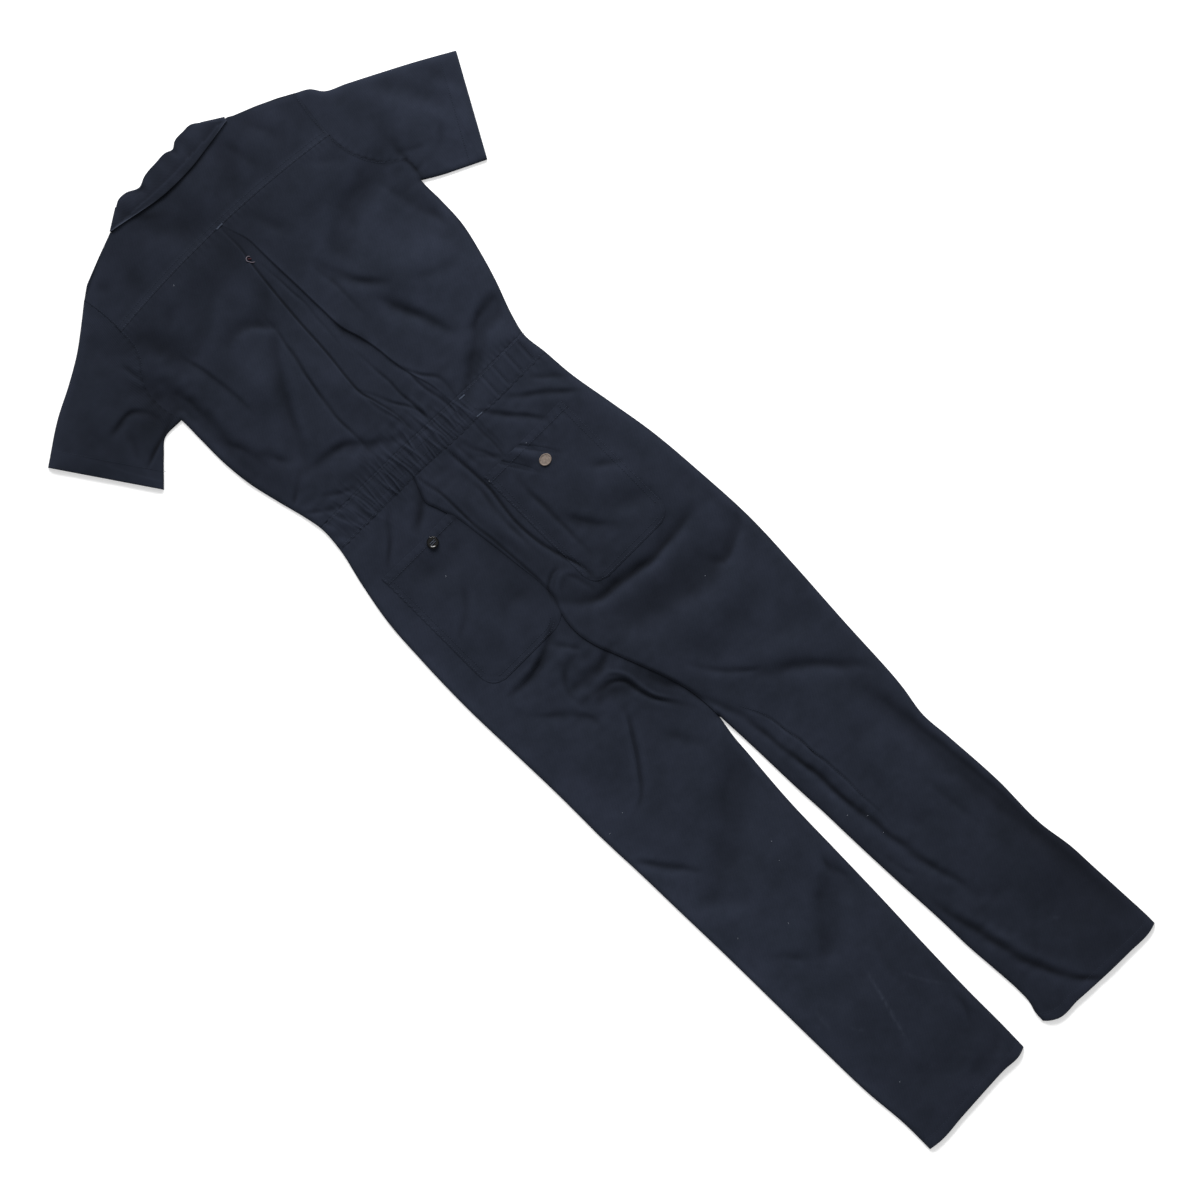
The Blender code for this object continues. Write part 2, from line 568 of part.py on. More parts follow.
def collar():
    """Stand and fall in one: the stand goes up from the neck seam, rolls over, and the fall lies outside.

    A station is a place round the neck, from the centre front round the back to the centre front. Its turn
    goes from -90 degrees on the front to 90 on the back, which closes the flattened ring at its two sides.
    """
    front = collar_front(FRONT_SHARES)
    mirror = np.array([-1, 1, -1, 1, -1, 1])
    back_x = np.concatenate([[-92], np.linspace(-82, 82, 11), [92]])
    roll_x, edge_x = back_x * 0.755, back_x * 1.04
    back = np.stack([
        back_x, np.interp(back_x, SHOULDER["x"], SHOULDER["y"]) + GAP,
        roll_x, np.interp(roll_x, ROLL["x"], ROLL["y"]),
        edge_x, np.interp(edge_x, FALL_EDGE["x"], FALL_EDGE["y"]),
    ], -1)
    side = np.repeat(front[:1], 3, axis=0)
    plan = np.concatenate([front[::-1] * mirror, side * mirror, back, side, front])
    side_turns = [-45, 0, 45]
    half_turns = [-90] * len(front) + side_turns
    turns = np.radians(half_turns + [90] * len(back) + half_turns[::-1])
    neck, roll, edge = plan[:, 0:2], plan[:, 2:4], plan[:, 4:6]
    on_back = turns > math.radians(80)
    at_side = np.abs(turns) < math.radians(80)
    outward = np.stack([np.sign(plan[:, 0]), np.ones(len(plan))], -1) * COLLAR_SIDE_LEAN

    radius = COLLAR_LIFT / 2
    reach = radius + COLLAR_CLOTH / 2
    low = COLLAR_LIFT + COLLAR_CLOTH / 2
    seam = back_top(neck[:, 0], neck[:, 1] - GAP) - COLLAR_CLOTH / 2
    side_high = seam[on_back][[0, -1]].mean()
    centre = np.where(on_back, seam, np.where(at_side, (side_high + low) / 2, low))
    spread = np.where(at_side, (side_high - low) / 2, 0)
    droop = np.where(on_back, COLLAR_DROOP * ramp(np.abs(neck[:, 0]), 96, 40), 0)
    stand_length = np.linalg.norm(roll - neck, axis=1)
    stand_way = (roll - neck) / stand_length[:, None]
    bend = roll - stand_way * reach
    fall_length = np.linalg.norm(edge - bend, axis=1)

    def face(offset):
        """One face of the collar, offset from its middle; the positive side is outside the roll."""
        rho = radius + offset
        grid = []

        def add(place, extra, sag, is_fall=False):
            bulge = np.where(at_side, (spread + extra) * np.cos(turns), 0)
            flat = place + outward * bulge[:, None]
            height = centre + np.sin(turns) * (spread + extra) - sag
            if is_fall:
                on_yoke = back_top(flat[:, 0], flat[:, 1]) + 2 * GAP + COLLAR_CLOTH / 2 + offset
                height = np.where(on_back & (flat[:, 1] < neck[:, 1]), np.maximum(height, on_yoke), height)
            grid.append(np.column_stack([flat, height]))

        for share in (0, 1):
            add(neck + (bend - neck) * share, -offset, droop * share)
        for theta in np.radians([45, 90, 135]):
            add(bend + stand_way * rho * math.sin(theta), radius - rho * math.cos(theta), droop)
        for share in (0, 0.35, 0.7, 1):
            sag = droop * np.clip(1 - share * fall_length / (stand_length - reach), 0, 1)
            add(bend + (edge - bend) * share, 2 * radius + offset, sag, is_fall=True)
        return np.stack(grid)

    wall("collar", face(COLLAR_CLOTH / 2), face(-COLLAR_CLOTH / 2))


# ---------------------------------------------------------------- front

def front_half(side):
    """A bodice front: level rows up to the armhole, then rows that bend to the neck and the shoulder.

    Its columns are worked out for the right half, then mirrored for the left one. Those near the centre stay
    straight, and the others keep their share of the width as the side edge moves.
    """
    sign = 1 if side == "right" else -1
    neck = collar_front(FRONT_SHARES[::-1])[:, :2] + NECK_CLEARANCE
    neck = np.concatenate([[(-CENTRE_LAP, neck[0, 1])], neck])
    rise_ends = [-CENTRE_RISE_TO, -CENTRE_RISE_FROM] if side == "left" else []
    columns = np.union1d(neck[:, 0], rise_ends)
    neck = np.stack([columns, np.interp(columns, neck[:, 0], neck[:, 1])], axis=-1)
    armhole = ARMHOLES[side]
    armhole_top = sign * armhole["x"][-1], armhole["y"][-1]
    top = np.concatenate([neck, FRONT_SHOULDER, [armhole_top]])

    rows = [WAIST_HIGH + GAP, 345, 400, 460, ARMPIT_Y, 560, COLLAR_UNDER_Y - COLLAR_UNDER_SLOPE]
    level = np.array(rows + [COLLAR_UNDER_Y] * 4)[:, None]
    bends = np.array([0] * 8 + [0.44, 0.75, 1])[:, None]
    y = level + (top[:, 1] - level) * bends
    edge_y = y[:, -1:]
    armhole_y = [*FRONT_ARMHOLE["y"], armhole_top[1]]
    armhole_x = [*FRONT_ARMHOLE["x"], armhole_top[0]]
    above_armpit = np.interp(edge_y, armhole_y, armhole_x)
    edge = np.where(edge_y > ARMPIT_Y, above_armpit, sign * read(BODY, side, edge_y))
    fixed = np.count_nonzero(columns <= -CENTRE_RISE_FROM)
    start = columns[fixed - 1]
    share = (top[:, 0] - start) / (top[-1, 0] - start)
    x = sign * np.where(np.arange(len(top)) < fixed, top[:, 0], start + (edge - start) * share)
    layer(f"front_{side}", x, y, front_top(side, x, y))


def centre_columns(side, inner, outer):
    """Columns of a hidden front piece, with one at each end of the rise where the left front laps."""
    if side == "left":
        inner = [inner, np.full_like(inner, CENTRE_RISE_TO), np.full_like(inner, CENTRE_RISE_FROM)]
    else:
        inner = [inner]
    return np.concatenate([*inner, *between(inner[-1], outer, (0.35, 0.7, 1))], axis=1)


def front_band(side):
    """A plain front waistband, lapped at the centre like the fronts."""
    y = np.array([WAIST_LOW + HALF_GAP, WAIST_HIGH - HALF_GAP])[:, None]
    centre = -CENTRE_LAP if side == "right" else CENTRE_LAP
    x = centre_columns(side, np.full_like(y, centre), body_edge(side, y))
    y = np.broadcast_to(y, x.shape)
    layer(f"front_band_{side}", x, y, front_top(side, x, y))


def front_leg(side):
    """A plain front leg, lapped as far as the end of the fly and seamed below it."""
    sign = 1 if side == "right" else -1
    y = np.array([
        WAIST_LOW - GAP, 220, 160, FLY_END_Y + FLY_TAPER, FLY_END_Y, 25, -60, -140, CROTCH_Y, -260, -340,
        -420, -500, -580, -640, -700, HEM_Y,
    ])[:, None]
    outer, inner = leg_edges(side, y)
    seam = CROTCH_X * ramp(y, FLY_END_Y, CROTCH_Y) + sign * HALF_GAP
    lapped = seam - sign * (CENTRE_LAP + HALF_GAP) * np.clip((y - FLY_END_Y) / FLY_TAPER, 0, 1)
    inner = np.where(y >= CROTCH_Y, lapped, inner)
    x = centre_columns(side, inner, outer)
    y = bend_to_hem(x, np.broadcast_to(y, x.shape), inner, outer)
    layer(f"front_leg_{side}", x, y, front_top(side, x, y))


# ---------------------------------------------------------------- trim

def highest_near(x, y, top, place_x, place_y, reach):
    """Height of a pocket's upper face at its highest point near a place."""
    return top[np.hypot(x - place_x, y - place_y) < reach].max() + LAYER


def link_to(made, collection):
    """Moves an object that an operator made into a collection."""
    for group in list(made.users_collection):
        group.objects.unlink(made)
    collection.objects.link(made)


def pocket_button(x, y, top):
    """A four-hole button: a turned disc with a raised rim, drilled through."""
    seat = highest_near(x, y, top, BUTTON_X, BUTTON_Y, 40) + GAP
    profile = [(0, BUTTON_FACE), (4.6, BUTTON_FACE), (5.4, BUTTON_RIM), (6.6, BUTTON_RIM),
               (BUTTON_RADIUS, 1.5), (BUTTON_RADIUS, 0.7), (6.2, 0), (0, 0)]
    mesh = bpy.data.meshes.new("pocket_button")
    lines = [(k, k + 1) for k in range(len(profile) - 1)]
    mesh.from_pydata([(radius * MM, 0, height * MM) for radius, height in profile], lines, [])
    mesh.materials.append(material("pocket_button", BUTTON_PLASTIC, 0.35))
    button = bpy.data.objects.new("pocket_button", mesh)
    button.location = (BUTTON_X * MM, BUTTON_Y * MM, seat * MM)
    PARTS.objects.link(button)
    turn = button.modifiers.new("turn", "SCREW")
    turn.steps = turn.render_steps = 24
    turn.use_merge_vertices = True
    turn.merge_threshold = 0.00001
    for k in range(4):
        angle = math.radians(45 + 90 * k)
        across, up = BUTTON_HOLE_RING * math.cos(angle), BUTTON_HOLE_RING * math.sin(angle)
        bpy.ops.mesh.primitive_cylinder_add(
            vertices=8, radius=BUTTON_HOLE_RADIUS * MM, depth=4 * BUTTON_RIM * MM,
            location=((BUTTON_X + across) * MM, (BUTTON_Y + up) * MM, seat * MM))
        drill = bpy.context.object
        drill.name = f"button_drill_{k}"
        drill.hide_render = True
        drill.display_type = "WIRE"
        link_to(drill, CUTTERS)
        hole = button.modifiers.new(f"hole_{k}", "BOOLEAN")
        hole.operation = "DIFFERENCE"
        hole.solver = "EXACT"
        hole.object = drill


def pocket_patch(x, y, top):
    """A bare oval patch lying on the right pocket."""
    seat = highest_near(x, y, top, PATCH_X, PATCH_Y, 30) + GAP
    bpy.ops.mesh.primitive_cylinder_add(
        vertices=32, radius=MM, depth=PATCH_WALL * MM,
        location=(PATCH_X * MM, PATCH_Y * MM, (seat + PATCH_WALL / 2) * MM))
    patch = bpy.context.object
    patch.name = patch.data.name = "pocket_patch"
    for vertex in patch.data.vertices:
        vertex.co.x *= PATCH_LONG
        vertex.co.y *= PATCH_SHORT
    patch.data.materials.append(material("pocket_patch", PATCH_CLOTH, 0.7))
    link_to(patch, PARTS)


# ---------------------------------------------------------------- the garment

for old in list(bpy.data.objects):
    bpy.data.objects.remove(old, do_unlink=True)
PARTS = bpy.data.collections.new(OBJECT_NAME)
CUTTERS = bpy.data.collections.new("cutters")
bpy.context.scene.collection.children.link(PARTS)
bpy.context.scene.collection.children.link(CUTTERS)

for half in ("left", "right"):
    front_half(half)
    front_band(half)
    front_leg(half)
    sleeve(half)
back_yoke()
upper_back()
back_waistband()
collar()
pocket_button(*back_leg_left())
pocket_patch(*back_leg_right())
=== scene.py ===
"""Cloth, trim and studio for the short-sleeved coverall that lies flat on its front.

Sizes are in millimetres until build_mesh() turns them to metres. +X is the wearer's right, +Y is towards the
collar and +Z is up. Each cut piece is a thin closed shell: a grid of points laid out in plan between its seams,
lifted to one height function of x and y that all the pieces of the back share, so they meet at their seams.
"""

import math

import bpy
import numpy as np
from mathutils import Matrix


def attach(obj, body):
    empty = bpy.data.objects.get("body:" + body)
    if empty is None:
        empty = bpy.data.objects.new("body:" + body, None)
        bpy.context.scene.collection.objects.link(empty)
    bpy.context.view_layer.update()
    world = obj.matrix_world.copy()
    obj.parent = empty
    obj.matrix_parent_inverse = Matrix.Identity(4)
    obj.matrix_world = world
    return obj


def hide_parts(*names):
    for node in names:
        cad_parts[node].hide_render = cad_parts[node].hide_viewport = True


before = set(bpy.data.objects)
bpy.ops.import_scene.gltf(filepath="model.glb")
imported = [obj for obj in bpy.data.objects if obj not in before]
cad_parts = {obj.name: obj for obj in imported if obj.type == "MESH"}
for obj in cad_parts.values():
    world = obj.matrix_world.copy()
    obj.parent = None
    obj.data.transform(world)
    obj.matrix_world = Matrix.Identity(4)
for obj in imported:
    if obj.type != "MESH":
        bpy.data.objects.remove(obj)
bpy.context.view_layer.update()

MM = 0.001
RANDOM = np.random.default_rng(11)


def table(columns, *rows):
    """A short table as a dict of its named columns, sorted by the first one."""
    values = np.array(sorted(rows), float).T
    return dict(zip(columns.split(), values))


# ---------------------------------------------------------------- sizes

CLOTH = 0.8                 # one layer of twill with its nap
LAYER = 1.1                 # how far one layer lies above the next
POCKET_LAYER, POCKET_CLOTH = 0.6, 0.5
SEAM_GAP = 0.01
FLOOR_CLEARANCE = 0.2
EDGE_TOP = FLOOR_CLEARANCE + CLOTH + LAYER
EDGE_RISE, EDGE_REACH = 2.8, 8.5
HEM_FLARE = 5.0             # the hems are open, so the cloth there stays up as if it went on this much further
BODY_RISE, BODY_REACH = 5.0, 70.0
GRID = 2.4                  # spacing of the points of the upper back
HIDDEN_GRID = 7.0
BESIDE_SEAM = np.array([0, 0.5, 1.3, 2.5])      # the first points inwards from a seam

COLLAR_LIFT = 1.7
COLLAR_UNDER_Y, COLLAR_UNDER_X, COLLAR_UNDER_SLOPE = 597.0, 122.0, 18.0
CENTRE_LAP = 15.0
FLY_END_Y, FLY_TAPER = 60.0, 40.0
SEAT_LAP, SEAT_LIFT = 12.0, 2.7
SEAT_LIFT_FLAT, SEAT_LIFT_REACH = 14.0, 55.0
SEAT_EDGE_DEPTH, SEAT_GROOVE_DEPTH, SEAT_FOLD_DEPTH = 1.5, 1.5, 3.4

WAIST_LOW, WAIST_HIGH = 261.0, 298.5
WAIST_MIDDLE = (WAIST_LOW + WAIST_HIGH) / 2
CROTCH_X, CROTCH_Y = 8.0, -205.0
HEM_Y, HEM_BEND_FROM = -757.5, -700.0
HEM_ROW, SLEEVE_HEM_ROW = 12.5, 22.0            # how far above the edge a hem is sewn
BELOW_HEMS = -764.0         # only the ends of the legs' edges in the table lie lower
ARMPIT_Y = 513.0

# Sides of the body at each height, and the two edges of each leg
BODY = table(
    "y left right",
    (540, -205, 219), (513, -200, 214), (480, -200, 214), (440, -200, 212), (400, -196, 203),
    (360, -187, 191), (320, -177, 176), (298, -173, 170), (262, -175, 173), (220, -185, 176),
    (160, -196, 186), (100, -200, 196), (20, -202, 203), (-60, -200, 207), (-140, -198, 204),
    (-205, -198, 200),
)
LEGS = {
    "left": table(
        "y outer inner",
        (-205, -198, 9), (-238, -197, 3.6), (-260, -196, 2), (-340, -194, -4), (-420, -192, -6), (-500, -191, -8),
        (-580, -190, -11), (-660, -188, -13), (-720, -183, -13), (-765, -183, -14),
    ),
    "right": table(
        "y outer inner",
        (-205, 200, 9), (-238, 198, 10.6), (-260, 197, 11.5), (-340, 192, 14), (-380, 186, 16), (-420, 189, 17),
        (-500, 194, 20), (-580, 194, 24), (-620, 200, 25), (-660, 202, 28), (-700, 204, 30.5),
        (-720, 205, 30), (-740, 206, 26), (-765, 206, 25),
    ),
}
HEMS = {
    "left": table("x y", (-183, -761.5), (-168, -763.5), (-126, -761), (-84, -758.5), (-53, -757), (-22, -757),
                  (-13, -753.5)),
    "right": table("x y", (25, -748), (29, -752), (37, -757.5), (74, -760.5), (110, -762.5), (158, -763.5),
                   (198, -762.5), (206, -760)),
}
ARMHOLES = {
    "left": table(
        "y x",
        (513, -200), (535, -205), (555, -206), (572, -203), (585, -196), (603, -183), (643, -176),
        (670, -177), (700, -181),
    ),
    "right": table(
        "y x",
        (513, 214), (524, 218), (537, 219), (549, 213), (560, 199), (577, 186), (608, 175.5),
        (640, 174), (670, 176), (697, 181),
    ),
}
FRONT_ARMHOLE = table("y x", (560, 190), (597, 178), (641, 175))
# The sleeves' edges under and over the arm, from the armhole to the hem
SLEEVE_UNDER = {
    "left": [(-200, 513), (-231, 511), (-244, 499), (-275, 468)],
    "right": [(214, 513), (236, 500), (262, 487), (289, 474)],
}
SLEEVE_OVER = {
    "left": [(-181, 700), (-205, 681), (-232, 661), (-266, 641), (-305, 621), (-356, 587)],
    "right": [(181, 697), (196, 688.5), (207, 674), (232, 661.5), (272, 641), (310, 621), (356, 595)],
}
# The raised edge of the right seat, the groove of its seam beside it, and the fold that runs down past the pocket
SEAT = table(
    "y edge groove fold",
    (262, -49, -46, 4), (248, -54, -44, 4.5), (231, -60, -40, 5.5), (216, -55, -38.5, 6.5), (188, -46, -38.5, 7),
    (160, -42, -36.5, 3.5), (141, -39.5, -34, 1), (98, -34.5, -31, 4), (60, -30.5, -29, 14), (39, -31, -31, 20),
    (17, -39, -39, 22), (-12, -42, -42, 18), (-38, -37, -37, 10), (-64, -27, -27, 9), (-98, -14, -14, 14),
    (-128, -3, -3, 20), (-157, 5, 5, 26), (-180, 8, 8, 27), (-205, 9, 9, 27),
)
# The inverted pleat down the upper back: its two folds and its depth
PLEAT = table(
    "y left right depth",
    (299, -12, 50, 0.2), (324, -10, 47, 0.7), (360, -17, 37, 1.3), (384, -23, 33, 1.6),
    (404, -22, 31, 1.7), (430, -19, 26, 1.7), (453, -17, 19, 1.8), (490, -15, 17, 1.8), (533, -11.5, 16, 1.7),
    (562, -8.6, 15, 1.5), (590, -5, 14.5, 1.2), (610, -2, 14, 0.9), (634, -2, 7, 0.4), (646, -2, 3, 0.1),
)
YOKE_SEAM_X, YOKE_SEAM_Y, YOKE_SEAM_FALL = -40.0, 647.0, 0.00035
SHOULDER = table(
    "x y",
    (-181, 699.5), (-165, 711), (-130, 725), (-98, 736.5), (-50, 733.5), (0, 732.5), (50, 733),
    (96, 735.5), (134, 720.5), (160, 708.5), (181, 697),
)
# The collar from above: the edge of its fall, its roll, and its front from the shoulder (0) to the centre (1)
FALL_EDGE = table(
    "x y",
    (-102, 737), (-80, 733), (-56, 728), (-25, 722.5), (5, 721), (30, 722), (60, 726), (97, 732),
)
ROLL = table(
    "x y",
    (-74, 752), (-65, 757), (-52, 757), (-35, 750), (-22, 755), (0, 757), (18, 757),
    (26, 754), (34, 759), (50, 760.5), (64, 759.5), (74, 752.5),
)
COLLAR_FRONT = table(
    "share neck_x neck_y roll_x roll_y edge_x edge_y",
    (0.00, 95.0, 735, 71.5, 752, 97.5, 735.5),
    (0.25, 90.0, 708, 67, 737, 108, 702),
    (0.50, 64.0, 673, 48, 703, 99, 662),
    (0.75, 31.0, 657, 25, 686, 76, 630),
    (1.00, 2.0, 653, 2, 679, 42, 606),
)
COLLAR_SIDE_LEAN = (0.36, 0.45)
COLLAR_THICK, COLLAR_ROLL_RADIUS = 1.2, 0.95
ROLL_SHARE, EDGE_SHARE = 0.775, 1.05            # how wide the roll and the fall's edge are for the neck's width
YOKE_HALF = 178.5

ELASTIC_LEFT, ELASTIC_RIGHT = -114.0, 64.0
ELASTIC_ROWS = (273.0, 286.0)                   # y of the two rows sewn through the elastic
UPRIGHT_GROOVES, UPRIGHT_ROWS = (97, 115, 137, 157), (97, 115, 137, 158)
UPRIGHT_MIDDLE, UPRIGHT_LEAN = 280, 0.05
POCKET_TOP, POCKET_LOW, POCKET_CORNER = 203.0, 10.0, 24.0
POCKET_SIDES = {"left": (-164.0, -44.0), "right": (12.0, 146.0)}    # the inner ones lie along the seat's folds
POCKET_HEM = 10.5
POCKET_HEM_Y = POCKET_TOP - POCKET_HEM
# Folds down from the right pocket's opening: x at the opening, how far it moves for each mm down, width and rise
POCKET_FOLDS = [(57, 0.6, 8, 2.4), (38, 0.62, 2.6, -2.2), (66, 0.75, 3.0, -2.4)]
BUTTON_X, BUTTON_Y, BUTTON_RADII = -88.5, 190.5, (7.5, 7.5)
PATCH_X, PATCH_Y, PATCH_RADII = 80.0, 165.0, (8.1, 7.0)
POCKET_SWELLS = {
    "left": table("x y wide tall turn rise", (-110, 60, 40, 40, 0, 0.9), (BUTTON_X, BUTTON_Y, 9, 9, 0, -0.7)),
    "right": table("x y wide tall turn rise", (128, 184, 14, 15, 0, 1.2)),
}

# Creases: half width, height of the ridge (below 0, a trough), lean (the side that falls away slower, 0 for
# neither), and the points it runs through. Swells: centre, half widths, turn in degrees, and height.
SEAT_CREASES = [
    # under and beside the right pocket
    (10, -4.8, -0.1, [(-44, 60), (-26, 28), (-8, 8), (8, 0), (34, -5), (60, -9), (96, -12), (130, -8), (168, -6),
                      (208, -9)]),
    (7, -1.2, 0, [(96, -10), (114, 0), (126, 10), (146, 14)]),
    (22, -4.2, -0.2, [(-60, -24), (0, -42), (40, -56), (85, -69), (122, -72), (152, -66), (180, -52), (236, -16)]),
    (8, -2.6, 0, [(120, -46), (148, -74), (180, -60), (236, -16)]),
    (9, -3.0, 0.3, [(44, 112), (58, 80), (90, 42)]),
    (12, -2.6, 0, [(78, 82), (112, 62), (156, 38)]),
    (7, -1.4, 0, [(102, 132), (128, 110), (156, 92)]),
    (4.5, -1.8, 0, [(39, 188), (39, 130), (39, 85), (36, 30)]),
    (4.5, -2.6, 0.3, [(58, 276), (73, 257), (94, 228), (117, 200), (128, 188)]),
    (5, -2.2, 0.3, [(88, 270), (108, 250), (132, 229), (158, 206), (178, 186)]),
    (4, -1.4, 0, [(132, 262), (152, 238), (176, 216)]),
    (2.4, -1.2, 0, [(49, 284), (49.5, 250), (49.5, 222), (50, 190)]),
    (2.4, -1.0, 0, [(54.5, 280), (55, 240), (54.5, 200)]),
    (3, -1.0, 0, [(24, 262), (26, 240), (36, 218), (42, 200)]),
    (3, -1.0, 0, [(18, 262), (17, 236), (20, 206)]),
    (4, -1.3, 0, [(20, 232), (32, 218), (50, 202)]),
    (8, -1.2, 0, [(150, 256), (164, 226), (184, 206)]),
    # the crossing of the seat seam, and the ridge beside the raised edge
    (2.8, -1.6, 0, [(-36, 30), (-26, 54), (-12, 61), (4, 60)]),
    (4, 1.4, 0, [(-32, 24), (-18, 45), (-4, 51), (10, 40)]),
    (3, -1.2, 0, [(-6, 56), (6, 34), (11, 4)]),
    (9, 2.0, 0, [(-22, 226), (-19, 160), (-12, 90)]),
    (4.5, -1.6, 0, [(-6, 244), (-2, 200), (-8, 140), (-4, 70)]),
    # left seat
    (4.5, -1.8, 0, [(-92, 262), (-122, 232), (-158, 196)]),
    (9, -2.6, 0, [(-50, 250), (-68, 232), (-100, 210)]),
    (16, -2.2, 0, [(-164, 170), (-120, 168), (-86, 160), (-54, 184)]),
    (9, -4.6, -0.4, [(-34, 26), (-60, 14), (-80, 2), (-104, -7), (-130, -11), (-170, -6)]),
    (5, -1.8, 0, [(-78, 6), (-64, -14), (-50, -30)]),
    (9, -1.8, 0.3, [(-176, -8), (-152, -46), (-124, -74), (-104, -98), (-110, -140)]),
    (8, -3.6, -0.1, [(-12, -40), (-34, -55), (-50, -61), (-72, -61), (-110, -54)]),
    (3.8, -2.2, -0.2, [(6, -190), (-9, -168), (-20, -150), (-32, -134), (-38, -116), (-42, -96), (-54, -84),
                       (-74, -79), (-110, -75)]),
    (12, -2.4, 0, [(-30, -116), (-56, -96), (-84, -76)]),
    (3.6, 1.4, 0, [(-100, -68), (-70, -71), (-50, -73), (-38, -86), (-34, -106), (-31, -128), (-19, -148),
                   (0, -178)]),
    (6, -1.4, 0, [(-98, -92), (-100, -56), (-84, -34), (-52, -28)]),
    (8, -1.4, 0, [(-158, 78), (-120, 104), (-86, 140)]),
    (9, -1.3, 0, [(-104, 50), (-72, 74), (-40, 62)]),
    (9, -2.0, 0, [(-28, -82), (-18, -106), (-8, -132), (4, -158)]),
]
SEAT_SWELLS = table(
    "x y wide tall turn rise",
    (92, 104, 40, 34, 0, 2.4), (-112, 90, 34, 54, 0, 2.6), (92, -108, 62, 26, 0, 4.4), (-134, -124, 40, 40, 0, 2.8),
    (-66, -384, 52, 24, 35, 2.8), (-130, -450, 28, 40, 0, 2.0), (112, -430, 22, 70, 0, 2.2),
    (112, -198, 50, 18, -25, 2.8), (-90, -250, 46, 30, 30, 2.0), (-66, -20, 26, 16, 0, 1.6),
    (110, -300, 34, 40, 0, 1.8), (-96, -580, 46, 36, 0, 1.6), (126, -580, 26, 60, 0, 2.0), (140, 222, 20, 24, 0, 1.6),
)
# The two longest folds across the left leg
THIGH_FOLD = [(-176, -372), (-124, -346), (-92, -326), (-60, -296), (-26, -270), (14, -236)]
SHIN_FOLD = [(-160, -538), (-118, -512), (-88, -490), (-62, -458), (-26, -444), (14, -420)]
LEG_CREASES = [
    # left leg
    (5, -2.6, 0.4, [(-166, -224), (-128, -208), (-105, -180), (-86, -152), (-60, -110)]),
    (6.5, -2.4, 0.2, [(-200, -244), (-172, -284), (-154, -306), (-134, -336)]),
    (24, -7.0, 0.1, THIGH_FOLD),
    (22, -6.0, 0.1, SHIN_FOLD),
    (5, -1.6, 0, [(-20, -404), (-26, -438), (-14, -462)]),
    (20, -1.6, 0, [(-60, -556), (-118, -546), (-176, -526)]),
    (22, -2.6, 0, [(-170, -684), (-116, -700), (-74, -702), (-34, -690), (10, -670)]),
    (7, -1.4, 0, [(-32, -634), (-28, -664), (-46, -698)]),
    (13, -1.8, 0, [(-14, -712), (-50, -731), (-104, -736)]),
    (13, -1.8, 0, [(-180, -340), (-140, -374), (-116, -400)]),
    (8, -1.4, 0, [(-162, -452), (-118, -498)]),
    (10, -1.4, 0, [(-60, -160), (-40, -200), (-20, -230)]),
    (9, -1.2, 0, [(-40, -520), (-60, -560), (-66, -600)]),
    # right leg: the fold that the seat's edge runs into
    (6, -2.4, 0, [(42, -320), (35, -284), (32, -252), (29, -224), (19, -202), (11, -180), (2, -150), (-10, -114)]),
    (7.5, -3.2, 0, [(64, -530), (56, -486), (51, -448), (47, -418), (44.5, -396), (44, -371), (44.5, -347),
                    (41, -324), (35, -298), (32, -256)]),
    (7.5, -2.6, 0, [(84, -600), (71, -552), (62, -520), (55, -484), (47, -430)]),
    (1.8, -1.1, 0, [(26, -190), (38, -222), (48, -244), (53, -264), (57, -290), (60, -320), (63, -360), (64, -410),
                    (64, -470)]),
    (5, -1.8, 0, [(18, -124), (44, -160), (66, -186), (98, -208)]),
    (11, -3.4, 0, [(50, -182), (96, -216), (118, -230), (140, -248), (160, -268), (196, -316)]),
    (15, -5.6, 0.15, [(146, -250), (162, -350), (167, -404), (171, -450), (178, -500), (184, -560), (192, -720)]),
    (13, -1.8, 0, [(74, -472), (120, -468)]),
    (8, -1.2, 0, [(128, -420), (136, -480), (142, -540)]),
    (9, 1.6, 0, [(34, -500), (47, -582), (54, -612), (63, -646), (71, -680), (83, -709), (98, -735), (132, -780)]),
    (8.5, -2.2, 0, [(136, -800), (104, -754), (89, -735), (75, -709), (63, -680), (55, -646), (46, -612), (39, -582),
                    (34, -550), (26, -500)]),
    (9, -1.0, 0, [(130, -594), (106, -602), (84, -590), (66, -564), (48, -530)]),
    (34, -4.0, 0, [(84, -644), (140, -660), (214, -670)]),
    (16, -1.6, 0, [(76, -362), (120, -342), (164, -362)]),
    (5, -1.0, 0, [(28, -462), (34, -490), (40, -516)]),
    (20, -1.8, 0, [(200, -200), (150, -186), (120, -170)]),
]
